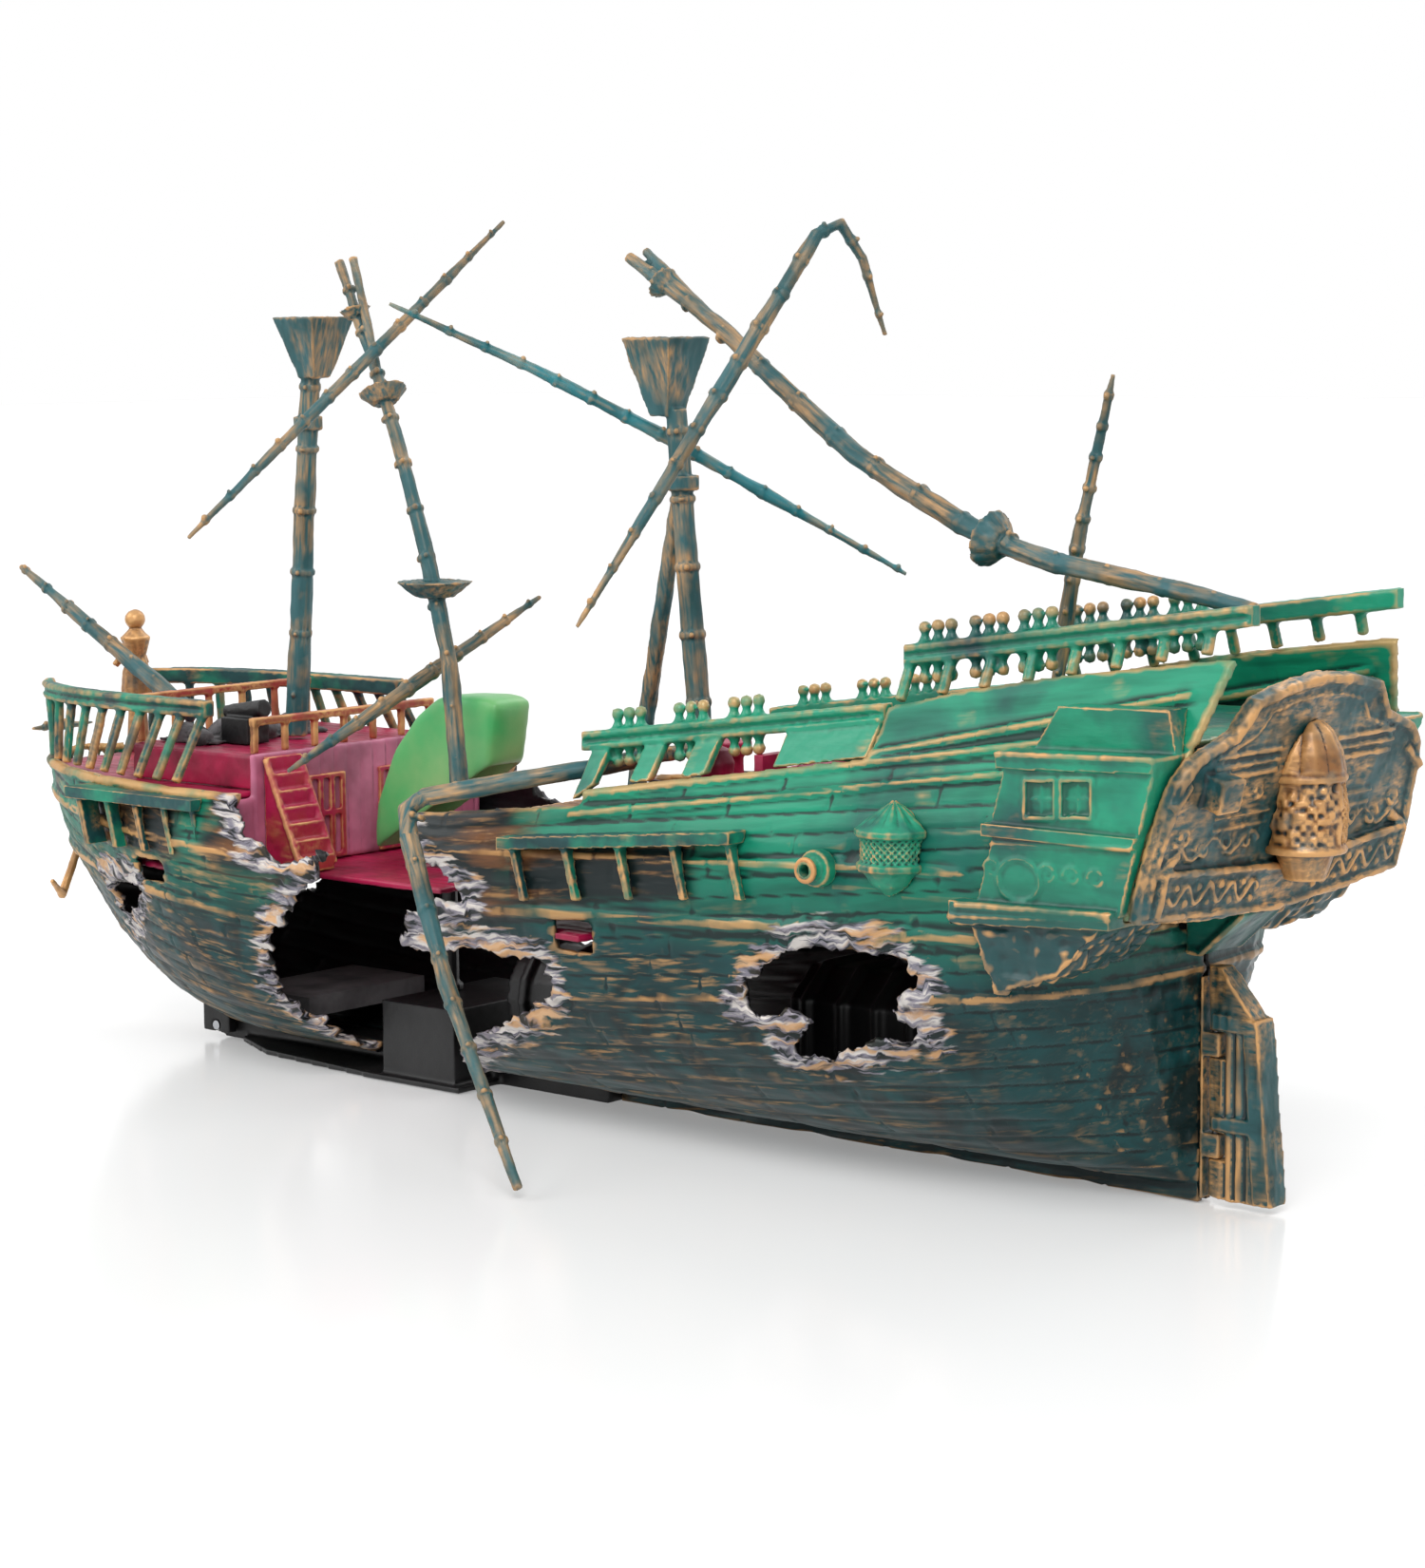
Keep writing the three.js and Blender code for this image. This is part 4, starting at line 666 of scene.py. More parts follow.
def skin(tree, origin, direction):
    hit = tree.ray_cast(Vector(origin), Vector(direction))[0]
    if hit is None:
        raise RuntimeError("nothing of the frame stands in line with %s" % (tuple(origin),))
    return hit


def beam_middle(tree, x, z):
    near, far = (skin(tree, (x, side * 200, z), (0, -side, 0)).y for side in (-1, 1))
    return (near + far) / 2


# The hull's broken edges, as outlines of [x, z] that were torn out of each side.
STERN_HOLE = [(110, 46.7), (114, 53.6), (127.5, 62.7), (149, 66), (164, 64.2), (170, 58.6), (160, 50),
              (169.5, 45.6), (135, 36), (123, 36), (133, 44)]
BOW_HOLE = [(-158, 54), (-140, 57), (-136, 52), (-148, 46), (-156, 38)]
TORN = {
    "stern_shell_port": [
        [(-30, 100), (-14, 100), (-14, 82), (-6, 74.5), (12.5, 65.5), (-10, 58.7), (-17, 51.6), (-11, 48),
         (14, 50.7), (37, 50.5), (41, 41.4), (30, 34), (-2.5, 22), (-16, 13), (-22.5, 7.5), (-30, 5)], STERN_HOLE],
    "stern_shell_starboard": [
        [(-30, 100), (-22, 94), (-20, 74), (-8, 66), (6, 54), (-6, 42), (16, 30), (0, 17), (-16, 8), (-30, 5)],
        STERN_HOLE, [(26, 54), (34, 62), (52, 60), (58, 52), (44, 46)]],
    "bow_shell_port": [
        [(-30, 100), (-85, 100), (-85, 86), (-77, 75), (-62, 69.4), (-42, 73.4), (-63, 54), (-71, 46),
         (-77, 28.6), (-70, 18), (-66, 8), (-62, -5), (-30, -5)], BOW_HOLE],
    "bow_shell_starboard": [
        [(-30, 100), (-80, 100), (-80, 88), (-68, 78), (-56, 74), (-48, 66), (-60, 56), (-52, 48), (-70, 36),
         (-60, 20), (-68, 8), (-62, -5), (-30, -5)], BOW_HOLE],
}


# ------------------------------------------------------------------ fittings
def deadeye(solids, place, way):
    """A double-lobed peg, pointing up or down from a rail."""
    lobes = [(0, -1), (1.5, -1), (1.7, 0.9), (1.0, 2.3), (1.8, 4.0), (1.4, 5.4), (0, 6.0)]
    solids.turned([(r, way * h) for r, h in lobes], place, 12)


def rail_fittings(node, top, groups, edge, count=3, spacing=4.2):
    """Pegs above and below a rail's beam, with a bead along its outboard lower edge."""
    def extras(solids):
        tree = probe(node)
        for group in groups:
            for i in range(count):
                x = group + spacing * (i - (count - 1) / 2)
                y = beam_middle(tree, x, top(x) - 2.5)
                deadeye(solids, (x, y, top(x) - 0.2), 1)
                deadeye(solids, (x, y, top(x) - 4.6), -1)
        outboard = -1 if node.endswith("port") else 1
        for drop, radius in ((4.2, 1.0), (0.9, 1.2)):
            line = []
            for i in range(13):
                x = edge[0] + (edge[1] - edge[0]) * i / 12
                z = top(x) - drop
                line.append(Vector((x, skin(tree, (x, outboard * 200, z), (0, -outboard, 0)).y, z)))
            solids.bar(line, radius)
    return extras


def quarter_top(x):
    return 112 + (x - 42) * 0.135


def poop_top(x):
    return 140.5 + (x - 147.5) * 0.14


def fore_top(x):
    return 111.5


def window_frames(solids, side, depth, x0, z0, width, height, slope, panes=2):
    """A raised frame with a cross of glazing bars."""
    def corner(a, b):
        x = x0 + a * width
        return Vector((x, side * depth, z0 + b * height + slope * (x - x0)))
    for share in range(panes + 1):
        radius = 0.75 if share in (0, panes) else 0.5
        solids.bar([corner(share / panes, 0), corner(share / panes, 1)], radius, 8)
        solids.bar([corner(0, share / panes), corner(1, share / panes)], radius, 8)


def gallery_fittings(side):
    def extras(solids):
        for x0 in (205, 215.6):
            window_frames(solids, side, 61.4, x0, 103.6 + 0.08 * (x0 - 205), 9.0, 9.2, 0.08)
        ring = [Vector((203.4 + 6.2 * math.cos(t), side * 61.4, 88.4 + 5.2 * math.sin(t)))
                for t in (2 * math.pi * i / 20 for i in range(21))]
        solids.bar(ring[:11], 0.7, 8).bar(ring[10:], 0.7, 8)
        for x in (195.5, 212, 219, 226):
            scroll(solids, Vector((x, side * 61.4, 90.5)), 2.6, side)
        for z0, depth in ((118.6, 62.4), (81, 63.9)):
            solids.bar([Vector((197 if z0 > 100 else 186, side * depth, z0)),
                        Vector((242 if z0 > 100 else 231, side * depth, z0 + 1.6))], 0.9, 8)
    return extras


def scroll(solids, centre, radius, side, turns=1.4, flat="xz"):
    """A flat spiral of leaf ornament."""
    line = []
    for i in range(15):
        share = i / 14
        angle = 2 * math.pi * turns * share
        reach = radius * (1 - 0.8 * share)
        a, b = reach * math.cos(angle) * side, reach * math.sin(angle)
        line.append(centre + (Vector((a, 0, b)) if flat == "xz" else Vector((0, a, b))))
    return solids.bar(line, [0.75 - 0.03 * i for i in range(15)], 8)


RAKE = math.atan(19.5 / 74)


def on_plate(depth, y, rise):
    """A point on the raked stern board: how far off it, how far across and how high up."""
    return Vector((233 + depth * math.cos(RAKE) + rise * math.tan(RAKE), y, 81 - depth * math.sin(RAKE) + rise))


PLATE_EDGE = [(59, 0), (60, 10), (58.2, 26), (56, 34), (51, 39), (36, 44), (29, 52), (14, 55), (0, 56)]


def counter_board():
    """The short boards that close the hull between the sternpost and the stern board."""
    outline = [(216.6, 65), (221, 64.5), (233.4, 75.6), (233.4, 80), (216.6, 80)]
    solids = Solids()
    solids.prism(outline, lambda x, z, y: Vector((x, y, z)), -8.5, 8.5)
    for y in (-8.8, 8.8):
        solids.bar([Vector((217, y, 65.4)), Vector((221, y, 64.9)), Vector((233, y, 75.8))], 0.9, 8)
    return solids


def transom_fittings(solids):
    arch = [(y * side, rise) for side, run in ((-1, PLATE_EDGE), (1, PLATE_EDGE[:-1][::-1])) for y, rise in run]
    inset = [on_plate(3.2, y * 0.965, 1.5 + rise * 0.95) for y, rise in arch]
    solids.bar(inset, 1.5, 8)
    inner_arch = [on_plate(3.2, y * 0.72, 14 + rise * 0.66) for y, rise in arch[3:-3]]
    solids.bar(inner_arch, 0.7, 8)
    for side in (-1, 1):
        for rise in (33.5, 36.2, 38.9):
            solids.bar([on_plate(3.5, side * 13, rise), on_plate(3.5, side * 41, rise)], 0.75, 8)
        for rise in (20.5, 23.5):
            solids.bar([on_plate(3.4, side * 12, rise), on_plate(3.4, side * 36, rise)], 0.6, 8)
        for y, rise, size in ((20, 16.5, 2.4), (29, 17.5, 3.0), (39, 16.5, 3.2), (48, 20, 2.4), (19, 28.5, 2.2)):
            scroll(solids, on_plate(3.6, side * y, rise), size, side, flat="yz")
        vine = [on_plate(3.4, side * (14 + 38 * i / 16), 16.5 + 2.4 * math.sin(i * 0.9)) for i in range(17)]
        solids.bar(vine, 0.7, 8)
        for y0, y1, r0, r1 in ((49, 57, 16, 12), (50, 57, 33, 28)):
            solids.bar([on_plate(3.2, side * y0, r0), on_plate(4.0, side * y1, r1)], 1.3, 8)
    sag = lambda y: 7.25 - 4.0 * (1 - abs(y) / 56)
    for lift in (-5.2, 5.2):
        solids.bar([on_plate(5.2, y, sag(y) + lift) for y in (-55, 0, 55)], 1.0, 8)
    for side in (-1, 1):
        solids.bar([on_plate(5.2, side * 55, 2.2), on_plate(5.2, side * 55, 12.4)], 1.1, 8)
        wave = [on_plate(5.3, side * (12 + 40 * i / 40), sag(12 + i) + 2.3 * math.sin(i * 0.62)) for i in range(41)]
        solids.bar(wave, 0.75, 8)
        for i in range(8):
            y = 14.5 + 5 * i
            solids.ball(on_plate(5.3, side * y, sag(y) - 2.1 * math.sin((y - 12) * 0.62)), 1.0)


def around(centre, points):
    return np.arctan2(points[:, 1] - centre[1], points[:, 0] - centre[0])


def diamonds(turn, height, pitch):
    """Raised strips that cross like a lattice."""
    lines = [np.abs(v - np.round(v)) for v in ((turn + height) / pitch, (turn - height) / pitch)]
    return np.exp(-(np.minimum(*lines) * pitch / 0.45) ** 2)


def lantern_relief(points, normals):
    turn, height = around((245.5, 0), points), points[:, 2] - 103
    dome = smoothstep(8.5, 10, height) * (1 - smoothstep(20, 22, height))
    body = smoothstep(-9, -8, height) * (1 - smoothstep(6, 7, height))
    out = 1.0 * dome * np.abs(np.cos(4 * turn)) ** 0.6 - 0.6 * dome
    scales = diamonds(turn * 10.2, height, 2.2)
    leaves = lattice_noise(points, 1.5, 21)
    out += body * np.where(turn > 0.1, 1.1 * scales - 0.7, 0.9 * leaves - 0.1)
    return normals * out[:, None], {}


def lantern_rings(solids):
    for height, radius, half in ((-10.2, 10.6, 0.9), (7.6, 10.6, 0.8), (9.3, 10.0, 0.6)):
        solids.turned([(0, -half), (radius - 0.4, -half), (radius, 0), (radius - 0.4, half), (0, half)],
                      (245.5, 0, 103 + height), 32)
    solids.ball((245.5, 0, 103 + 26.6), 1.9)
    solids.turned([(0, -18), (5, -18), (7.5, -11), (0, -11)], (245.5, 0, 103), 20)


def turret_relief(side):
    def relief(points, normals):
        turn, height = around((162, 57 * side), points), points[:, 2] - 74
        body = smoothstep(14.8, 15.4, height) * (1 - smoothstep(20.6, 21.2, height))
        out = body * (0.8 * diamonds(turn * 8.6, height, 1.9) - 0.5)
        out += 0.4 * np.abs(np.cos(6 * turn)) * smoothstep(23, 25, height)
        out += 0.12 * lattice_noise(points, 1.6, 6)
        return normals * out[:, None], {}
    return relief


def gallery_relief(points, normals):
    x, y, z = points.T
    out = 0.1 * lattice_noise(points, 1.6, 7)
    outward = np.abs(normals[:, 1]) > 0.6
    tilt = 103.6 + 0.08 * (x - 205)
    for x0 in (205, 215.6):
        pane = (x > x0 + 0.6) & (x < x0 + 8.4) & (z > tilt + 0.6) & (z < tilt + 8.6) & outward
        out -= 0.9 * pane
    bracket = 1 - smoothstep(75, 78, z)
    out += bracket * 1.5 * lattice_noise(points * np.array([0.6, 1, 0.8]), 2.2, 9)
    band = np.exp(-((z - 97 - 0.05 * (x - 200)) / 0.7) ** 2) + np.exp(-((z - 78.5 - 0.07 * (x - 190)) / 0.8) ** 2)
    out += 0.5 * band * outward
    return normals * out[:, None], {}


def rudder_fittings(solids):
    def side_prism(outline, half):
        solids.prism(outline, lambda x, z, y: Vector((x, y, z)), -half, half)
    side_prism([(234, 1.8), (238.9, 1.8), (234.9, 46.6), (230.5, 46.6)], 4.2)
    side_prism([(221.5, 45.2), (235, 45.2), (234.6, 48.6), (221.5, 49.4)], 4.2)
    side_prism([(221.5, 19.6), (236.5, 19.6), (236.2, 22.8), (221.5, 22.8)], 4.2)


def rudder_relief(points, normals):
    x = points[:, 0]
    out = 0.2 * lattice_noise(points * np.array([1, 1, 0.2]), 1.4, 14)
    flat = (np.abs(normals[:, 1]) > 0.5) & (np.abs(points[:, 1]) < 3.8) & (points[:, 2] < 45)
    for groove in (224.5, 227.6, 230.7):
        out -= 0.9 * np.exp(-((x - groove) / 0.6) ** 2) * flat
    return normals * out[:, None], {}


# Spars: the line each follows, its middle and tip radius, and how far apart its bands are.
SPARS = {
    "main_yard_long": ([(-26.2, -45.2, 229.1), (3.9, -18.7, 210.6), (29.8, 4, 192.6), (54.4, 25.6, 173.7),
                        (82.9, 50.8, 151.6)], 2.1, 0.7, 11),
    "main_yard_bent": ([(66, -69, 143.7), (92, 0, 246), (95, 6.5, 249), (97, 13, 240), (98, 22, 219)],
                       2.5, 0.7, 11),
    "mizzen_yard": ([(192.3, -6, 209), (182.3, -6, 169.2), (178.5, -6, 149.5), (174.5, -6, 124)], 2.0, 1.0, 8),
    "draped_spar": ([(69, -20, 107.7), (44.6, -35, 102.2), (8, -69, 94.5), (7, -74, 84), (34.4, -88, 48),
                     (79, -108, 2.6)], 2.6, 1.4, 15),
    "fore_yard_upper": ([(-74, -80, 163.5), (-56, 33, 254)], 2.1, 0.7, 11),
    "fore_yard_lower": ([(-50, -66, 97), (-35, 24, 142)], 2.5, 0.7, 10),
    "bowsprit": ([(-166, 0, 100.5), (-250, 0, 145)], 2.6, 1.2, 12),
    "sprit_yard": ([(-231, -13, 93), (-231, 13, 93)], 1.3, 0.6, 8),
    "main_topmast_fallen": ([(246, -24.7, 153), (182.6, -17.7, 162), (150, -14.1, 171.4), (112.6, -9.9, 187.8),
                             (76.7, -5.9, 211.1), (39, -1.7, 233.4), (24, 0, 241.5)], 3.0, 1.6, 17),
    "fore_topmast_fallen": ([(-89, -4.3, 242.4), (-66.8, -10.6, 208.5), (-44.9, -16.9, 167.2),
                             (-28, -21.9, 125.3), (-22.5, -24, 88)], 2.6, 2.0, 15),
    "main_mast": ([(50.9, 0, 85), (41, 0, 199)], 3.7, 3.2, 19),
    "foremast": ([(-117.5, 0, 97), (-107.5, 0, 209.5)], 3.7, 3.2, 19),
}


def bands(node):
    """Rope bands round a spar, each with the stub of a peg."""
    path, middle, tip, pitch = SPARS[node]
    points = [Vector(p) for p in path]

    def extras(solids):
        steps = [(b - a).length for a, b in zip(points, points[1:])]
        total = sum(steps)
        place = pitch * 0.7
        while place < total - 2:
            rest, leg = place, 0
            while rest > steps[leg]:
                rest -= steps[leg]
                leg += 1
            ahead = (points[leg + 1] - points[leg]).normalized()
            centre = points[leg] + ahead * rest
            radius = tip + (middle - tip) * math.sin(math.pi * place / total) + 0.2
            solids.bar([centre - ahead * 0.7, centre + ahead * 0.7], radius, 12)
            lean = Vector((0.3, -0.5, 0.8)) - ahead * ahead.dot(Vector((0.3, -0.5, 0.8)))
            solids.ball(centre + lean.normalized() * (radius + 0.2), 0.75)
            place += pitch
    return extras


def spar_relief(node):
    """Draws the grain out along the spar, and works shallow flutes into it."""
    path = np.array(SPARS[node][0], dtype=float)

    def relief(points, normals):
        nearest = np.full(len(points), 1e9)
        grain = np.zeros_like(points)
        run = 0.0
        for start, end in zip(path, path[1:]):
            step = end - start
            size = np.linalg.norm(step)
            share = np.clip((points - start) @ step / size ** 2, 0, 1)
            offset = points - start - share[:, None] * step
            away = np.linalg.norm(offset, axis=1)
            nearer = away < nearest
            nearest[nearer] = away[nearer]
            side = np.cross(step / size, (0.3, -0.5, 0.81))
            side /= np.linalg.norm(side)
            other = np.cross(step / size, side)
            here = np.stack([0.12 * (run + share * size), offset @ side, offset @ other], axis=1)
            grain[nearer] = here[nearer]
            run += size
        out = 0.3 * lattice_noise(grain, 1.3, 15) + 0.12 * lattice_noise(points, 3.5, 16)
        return normals * out[:, None], {"grain": grain}

    return relief


# ------------------------------------------------------------------ the operators
class Maker(bpy.types.Operator):
    """Shared by the operators that build the ornament."""
    bl_idname = "shipwreck.maker"
    bl_label = "Maker"
    bl_options = {"REGISTER", "UNDO"}

    def execute(self, context):
        self.build()
        return {"FINISHED"}


def thick_run(node):
    """Planking is thin where it closes on the sternpost, so copies of it stand behind it there."""
    mesh = frame["nodes"][node].data
    faces = [tuple(p.vertices) for p in mesh.polygons]

    def extras(solids):
        for back in (1.3, 2.6):
            points = [v.co / MM for v in mesh.vertices]
            solids.add([p - Vector((back * min(max((p.x - 150) / 30, 0), 1), 0, 0)) for p in points], faces)
    return extras


class HullShells(Maker):
    """The four planked shells, broken amidships and holed in each side."""
    bl_idname = "shipwreck.hull_shells"
    bl_label = "Hull shells"

    def build(self):
        for side, _ in SIDES:
            for half, wales in (("stern", STERN_WALES), ("bow", BOW_WALES)):
                node = f"{half}_shell_{side}"
                remould(node, material(half + "_hull"), thick_run(node), voxel=1.0, inside=82,
                        relief=hull_relief(wales, TORN[node]))


class DecksAndCabin(Maker):
    """Decks, cabin front, stairs and the forecastle roof."""
    bl_idname = "shipwreck.decks"
    bl_label = "Decks and cabin"

    def build(self):
        pitch = bpy.context.scene.shipwreck_sizes.deck_plank / MM
        planks = plank_relief(1, pitch)
        for node, key in (("waist_deck", "waist"), ("quarter_deck", "magenta"), ("poop_deck", "green_trim"),
                          ("gun_deck", "magenta"), ("fore_deck", "magenta"), ("well_deck", "magenta"),
                          ("forecastle_roof", "magenta")):
            remould(node, material(key), voxel=0.85, relief=planks)
        remould("cabin_wall", material("pink"), voxel=0.7, relief=plank_relief(1, 5.5, normal_axis=0))
        remould("cabin_stairs", material("magenta_gilt"), voxel=0.5, relief=weathered(0.12, 2.0), extras=stair_strings)
        moulding("cabin_doors", "bow_half", material("magenta_gilt"), door_frames(), voxel=0.5, slot="magenta_deck",
                 relief=weathered(0.1, 2.0))


def stair_strings(solids):
    for y in (-40.3, -26.7):
        solids.bar([Vector((-73.2, y, 64)), Vector((-87.5, y, 95.5))], 1.1, 8)


def door_frames():
    """Two panelled doors in the cabin front."""
    solids = Solids()
    for y0 in (-22, 8):
        for y in (y0, y0 + 4.6, y0 + 9.2, y0 + 13.8):
            solids.box((-89.1, y - 0.9, 63), (-87.9, y + 0.9, 88))
        for z in (62.8, 76, 87.2):
            solids.box((-89.1, y0 - 1, z), (-88.0, y0 + 14.8, z + 1.6))
    return solids


class Rails(Maker):
    """Rails of the quarterdeck, poop and forecastle, with their pegs."""
    bl_idname = "shipwreck.rails"
    bl_label = "Rails"

    def build(self):
        for side, _ in SIDES:
            for kind, top, groups, edge, key in (
                    ("quarter", quarter_top, (58, 80, 99), (43, 145), "green_trim"),
                    ("poop", poop_top, (158, 174, 189), (149, 251), "green_trim"),
                    ("fore", fore_top, (), (-206, -113), "teal_trim")):
                node = f"{kind}_rail_{side}"
                remould(node, material(key), rail_fittings(node, top, groups, edge), voxel=0.55,
                        relief=weathered(0.1, 2.4))


class MastsAndSpars(Maker):
    """Standing and fallen masts, and the loose yards, with their bands."""
    bl_idname = "shipwreck.spars"
    bl_label = "Masts and spars"

    def build(self):
        for node in SPARS:
            key = "yard" if node == "main_yard_long" else "spar"
            remould(node, material(key), bands(node), voxel=0.45, relief=spar_relief(node))


class SternBoard(Maker):
    """The carved stern board with its lantern."""
    bl_idname = "shipwreck.stern_board"
    bl_label = "Stern board and lantern"

    def build(self):
        remould("transom_plate", material("gilt"), transom_fittings, voxel=0.5, relief=weathered(0.25, 3.5),
                grain=(1, 0.3, 1))
        moulding("counter_board", "stern_half", material("stern_hull"), counter_board(), voxel=0.6,
                 slot=slot_of("stern_shell_port"), relief=weathered(0.1, 2.4))
        remould("stern_lantern", material("full_gold"), lantern_rings, voxel=0.42, relief=lantern_relief)


class Rudder(Maker):
    """Rudder, gudgeons and pintle pin."""
    bl_idname = "shipwreck.rudder"
    bl_label = "Rudder"

    def build(self):
        remould("rudder", material("gilt"), rudder_fittings, voxel=0.42, relief=rudder_relief)
        remould("rudder_gudgeons", material("gilt"), voxel=0.4, relief=weathered(0.1, 1.5))
        finish_node("rudder_pin", "steel")


def gun_drum(solids):
    solids.turned([(0, -2), (4.5, -2), (4.8, -1.5), (4.8, 1.5), (4.5, 2), (0, 2)], (140, -60.2, 85.5), 24, "Y")


def gun_muzzle():
    """The lip round the gun's bore."""
    ring = [Vector((140 + 2.7 * math.cos(t), -65.3, 85.5 + 2.7 * math.sin(t)))
            for t in (2 * math.pi * i / 24 for i in range(25))]
    return Solids().bar(ring[:13], 0.8, 8).bar(ring[12:], 0.8, 8)


class OutboardPieces(Maker):
    """Galleries, channels, turrets and the gun that stand out from the planking."""
    bl_idname = "shipwreck.outboard"
    bl_label = "Outboard pieces"

    def build(self):
        for side, sign in SIDES:
            remould(f"quarter_gallery_{side}", material("gallery"), gallery_fittings(sign), voxel=0.5,
                    relief=gallery_relief)
            remould(f"main_channel_{side}", material("teal_trim"), voxel=0.5, relief=weathered(0.15, 2.2))
            remould(f"fore_channel_{side}", material("teal_trim"), voxel=0.5, relief=weathered(0.15, 2.2))
            remould(f"side_turret_{side}", material("turret"), voxel=0.42, relief=turret_relief(sign))
        remould("side_cannon", material("turret"), gun_drum, voxel=0.4, relief=weathered(0.08, 1.5))
        moulding("gun_muzzle", "stern_half", material("red"), gun_muzzle(), voxel=0.35, slot=slot_of("side_cannon"))


class DeckFittings(Maker):
    """Capstan, deck gun, deck rails, figure, anchor and the heap of stones."""
    bl_idname = "shipwreck.deck_fittings"
    bl_label = "Deck fittings"

    def build(self):
        for node, key in (("capstan", "magenta"), ("deck_gun", "black"), ("after_deck_rail", "red"),
                          ("forward_deck_rail", "red"), ("figurehead", "full_gold"), ("anchor", "full_gold")):
            remould(node, material(key), voxel=0.45, relief=weathered(0.1, 1.8))
        moulding("deck_seat", "stern_half", material("magenta"), deck_seat(), voxel=0.5, slot="magenta_deck",
                 relief=weathered(0.08, 2.0))
        moulding("stone_heap", "bow_half", material("stone"), stone_heap(), voxel=0.6, slot="ballast_iron",
                 relief=weathered(0.5, 2.6))


def deck_seat():
    """A round post and a low chair on the quarterdeck, seen through the rail."""
    solids = Solids()
    tree = probe("quarter_deck")
    for x, y in ((84, -34), (112, -36)):
        z = skin(tree, (x, y, 140), (0, 0, -1)).z
        if x == 84:
            solids.turned([(0, -0.5), (3.4, -0.5), (3.0, 2), (4.6, 6), (4.9, 9), (3.6, 12.5), (0, 14)], (x, y, z), 20)
        else:
            solids.box((x - 9, y - 5, z - 0.5), (x + 9, y + 5, z + 3.0))
            solids.box((x - 9, y - 5, z), (x - 6, y + 5, z + 13))
            solids.box((x + 5.5, y - 5, z), (x + 9, y + 5, z + 11))
    return solids


def stone_heap():
    solids = Solids()
    solids.box((-147, -30, 96.1), (-124, 20, 97.2))
    for i in range(26):
        a, b, c = hashed([3 * i, 3 * i + 1, 3 * i + 2], 4)
        solids.ball((-146 + 21 * a, -29 + 48 * b, 97 + 2.2 * c), 2.4 + 2.4 * c, 0.8)
    return solids


class WorkingParts(Maker):
    """The air bell, and the black base, tank, drum and hinge."""
    bl_idname = "shipwreck.working_parts"
    bl_label = "Working parts"

    def build(self):
        remould("air_bell", material("bell"), bell_rim, voxel=0.9, calm=70, relief=weathered(0.05, 5.0))
        for node, voxel in (("base_chassis", 0.8), ("stern_tank", 0.8), ("air_drum", 0.7), ("air_nipple", 0.35),
                            ("riser_tube", 0.4), ("hinge_yoke", 0.45)):
            remould(node, material("black"), voxel=voxel, relief=weathered(0.04, 2.0))
        finish_node("hinge_pin", "steel")
        finish_node("bow_ballast", "iron")


def bell_rim(solids):
    for y in (-8, 8):
        solids.bar([Vector(p) for p in ((-76, y, 65.2), (-74.7, y, 79.5), (-66.6, y, 96.6), (-56.7, y, 107.5),
                                        (-48, y, 113.4), (-29, y, 114.4), (-23.3, y, 113.1))], 0.5, 8)


def finish_node(node, key):
    """Paints a solid that is kept as the frame has it."""
    mesh = frame["nodes"][node].data
    mesh.materials.clear()
    mesh.materials.append(material(key))


class Stage(Maker):
    """Pale floor and backdrop, soft lamps and the camera."""
    bl_idname = "shipwreck.stage"
    bl_label = "Stage"

    def build(self):
        floor_and_sky()
        lamps()
        camera()


def floor_and_sky():
    verts = [(-9, -9, -0.0004), (9, -9, -0.0004), (9, 9, -0.0004), (-9, 9, -0.0004)]
    mesh = bpy.data.meshes.new("floor")
    mesh.from_pydata(verts, [], [(0, 1, 2, 3)])
    floor = bpy.data.objects.new("floor", mesh)
    bpy.context.collection.objects.link(floor)
    # White lacquered board: pale, with a faint reflection of what stands on it.
    white = bpy.data.materials.new("white_lacquered_board")
    white.use_nodes = True
    tree = white.node_tree
    shader = tree.nodes["Principled BSDF"]
    shader.inputs["Base Color"].default_value = (0.8, 0.8, 0.8, 1)
    shader.inputs["Roughness"].default_value = 0.16
    shader.inputs["IOR"].default_value = 1.42
    seen = put(tree, "ShaderNodeLightPath")
    lift = put(tree, "ShaderNodeMath", {0: seen.outputs["Is Camera Ray"], 1: seen.outputs["Is Glossy Ray"]},
               operation="MAXIMUM").outputs[0]
    lifted = put(tree, "ShaderNodeMath", {0: lift, 1: FLOOR_LIFT}, operation="MULTIPLY").outputs[0]
    shader.inputs["Emission Color"].default_value = (1, 1, 1, 1)
    tree.links.new(lifted, shader.inputs["Emission Strength"])
    mesh.materials.append(white)

    world = bpy.data.worlds.new("white_room")
    bpy.context.scene.world = world
    world.use_nodes = True
    tree = world.node_tree
    seen = put(tree, "ShaderNodeLightPath")
    shown = put(tree, "ShaderNodeMath", {0: seen.outputs["Is Camera Ray"], 1: seen.outputs["Is Glossy Ray"]},
                operation="MAXIMUM").outputs[0]
    shown = put(tree, "ShaderNodeMath", {0: shown, 1: seen.outputs["Is Transmission Ray"]},
                operation="MAXIMUM").outputs[0]
    strength = put(tree, "ShaderNodeMapRange", {0: shown, 3: SKY_LIGHT, 4: 1.0}).outputs[0]
    tree.links.new(strength, tree.nodes["Background"].inputs["Strength"])
    tree.nodes["Background"].inputs["Color"].default_value = (1, 1, 1, 1)


FLOOR_LIFT = 0.25
SKY_LIGHT = 0.55


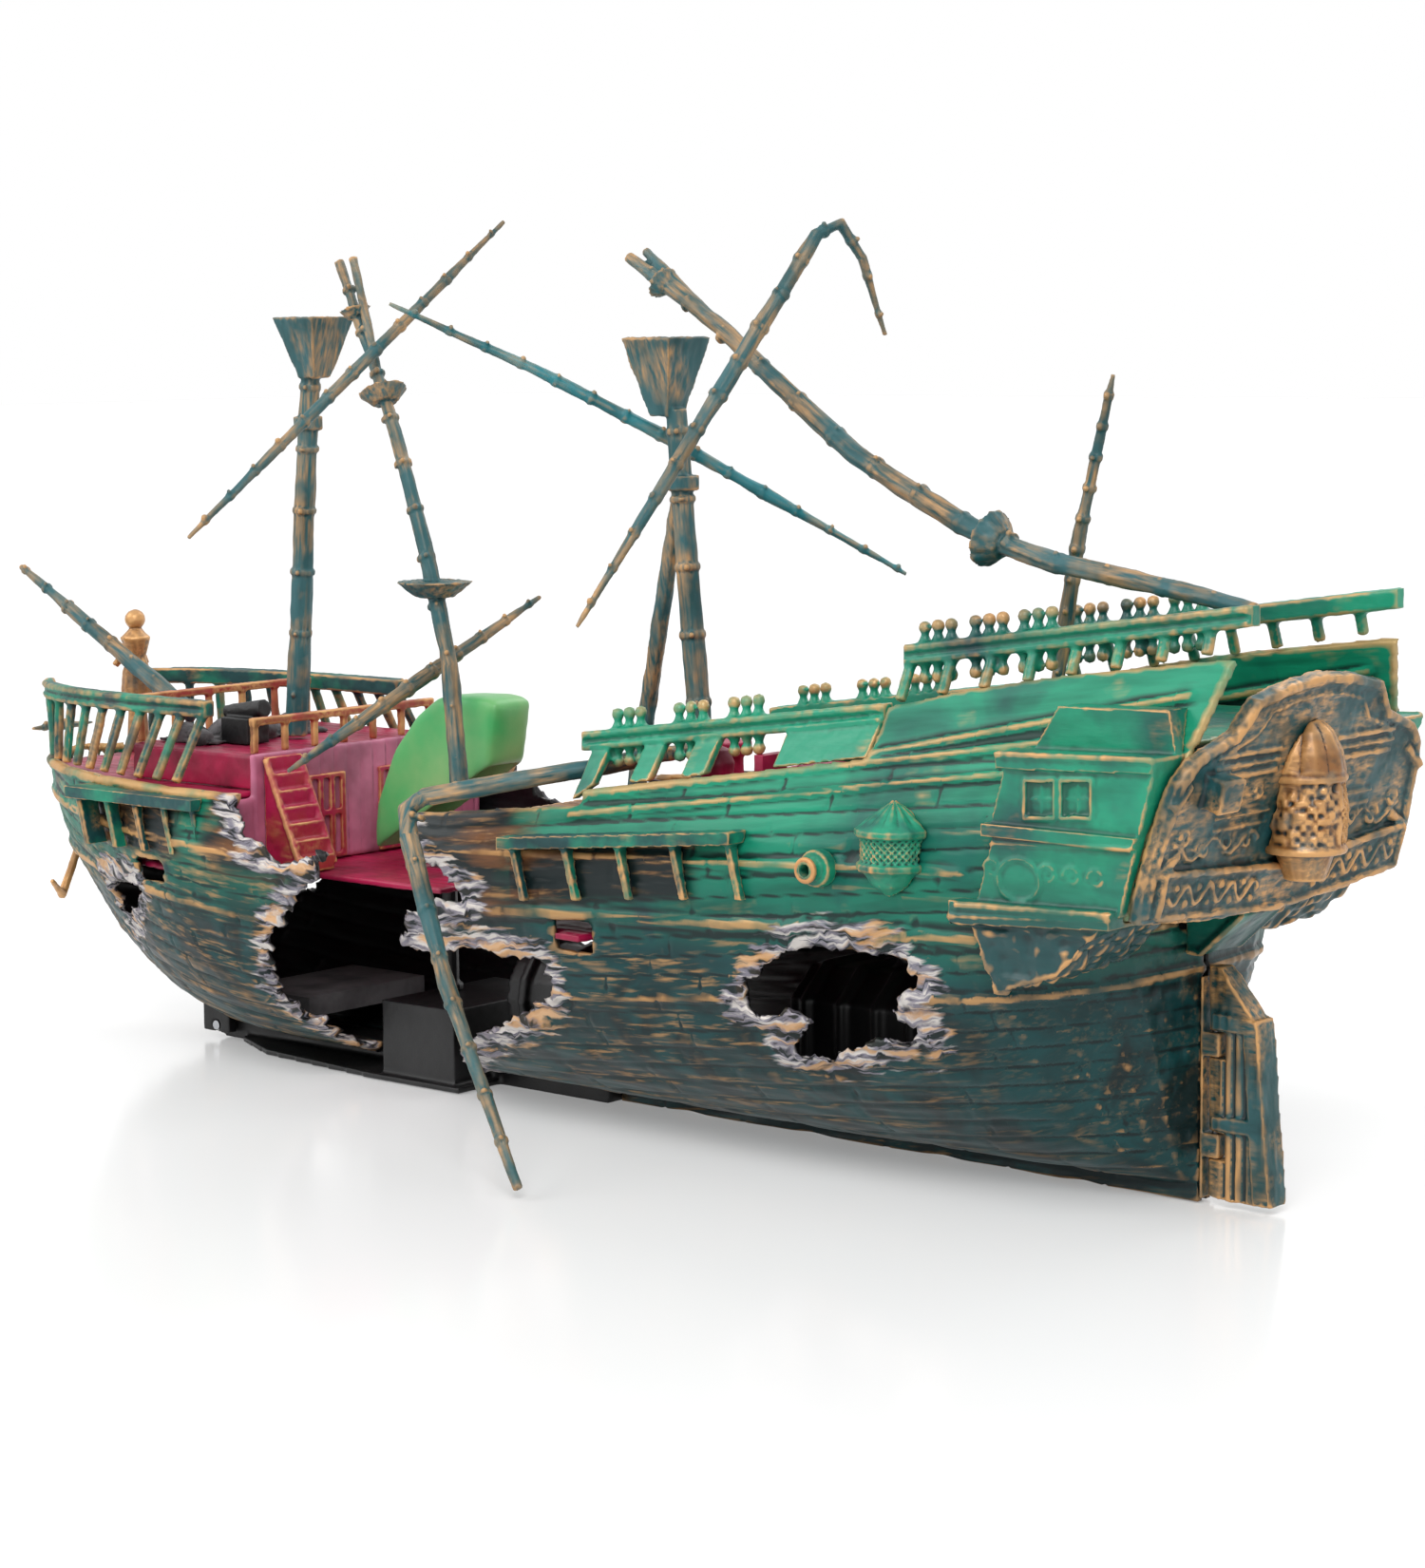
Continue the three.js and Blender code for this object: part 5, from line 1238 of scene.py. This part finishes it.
def lamps():
    """Two large soft boxes: the key ahead of the camera's side, the fill over the bow."""
    for name, place, size, watts in (("key", (0.9, -1.2, 1.5), 1.3, 22), ("fill", (-1.1, -1.1, 1.2), 1.2, 10),
                                     ("rim", (0.1, 1.4, 1.4), 1.2, 9)):
        lamp = bpy.data.lights.new(name, "AREA")
        lamp.shape = "SQUARE"
        lamp.size = size
        lamp.energy = watts
        holder = bpy.data.objects.new(name, lamp)
        holder.location = place
        holder.rotation_euler = (Vector((0, 0, 0.1)) - Vector(place)).to_track_quat("-Z", "Y").to_euler()
        bpy.context.collection.objects.link(holder)


def camera():
    """Stands off the port quarter and looks forward and a little down."""
    yaw, pitch, roll = (math.radians(a) for a in (40.736, 7.1176, -0.5437))
    ahead = Vector((-math.sin(yaw) * math.cos(pitch), math.cos(yaw) * math.cos(pitch), -math.sin(pitch)))
    right = ahead.cross(Vector((0, 0, 1))).normalized()
    upward = right.cross(ahead)
    tilted = math.cos(roll) * right + math.sin(roll) * upward
    upright = -math.sin(roll) * right + math.cos(roll) * upward
    data = bpy.data.cameras.new("camera")
    data.sensor_fit = "AUTO"
    data.sensor_width = 36
    data.lens = 36 * 3800 / 1650
    data.clip_end = 60
    seen_from = bpy.data.objects.new("camera", data)
    bpy.context.collection.objects.link(seen_from)
    turn = Matrix((tilted, upright, -ahead)).transposed().to_4x4()
    seen_from.matrix_world = Matrix.Translation(Vector((0.70937, -0.7619, 0.22))) @ turn
    bpy.context.scene.camera = seen_from
    bpy.context.scene.view_settings.view_transform = "Standard"


BUILDERS = (HullShells, DecksAndCabin, Rails, MastsAndSpars, SternBoard, Rudder, OutboardPieces, DeckFittings,
            WorkingParts, Stage)


class ShipwreckPanel(bpy.types.Panel):
    """Lists the builders, with the colours and sizes above them."""
    bl_idname = "VIEW3D_PT_shipwreck"
    bl_label = "Shipwreck"
    bl_space_type = "VIEW_3D"
    bl_region_type = "UI"
    bl_category = "Shipwreck"

    def draw(self, context):
        for group in (context.scene.shipwreck_paint, context.scene.shipwreck_sizes):
            for name in type(group).__annotations__:
                self.layout.prop(group, name)
        for builder in BUILDERS:
            self.layout.operator(builder.bl_idname)


def register():
    for cls in (ShipwreckPaint, ShipwreckSizes, *BUILDERS, ShipwreckPanel):
        bpy.utils.register_class(cls)
    bpy.types.Scene.shipwreck_paint = bpy.props.PointerProperty(type=ShipwreckPaint)
    bpy.types.Scene.shipwreck_sizes = bpy.props.PointerProperty(type=ShipwreckSizes)


def unregister():
    del bpy.types.Scene.shipwreck_paint, bpy.types.Scene.shipwreck_sizes
    for cls in (ShipwreckPanel, *BUILDERS[::-1], ShipwreckSizes, ShipwreckPaint):
        bpy.utils.unregister_class(cls)


def main():
    register()
    for builder in BUILDERS:
        getattr(bpy.ops.shipwreck, builder.bl_idname.split(".")[1])()


if __name__ == "__main__":
    main()
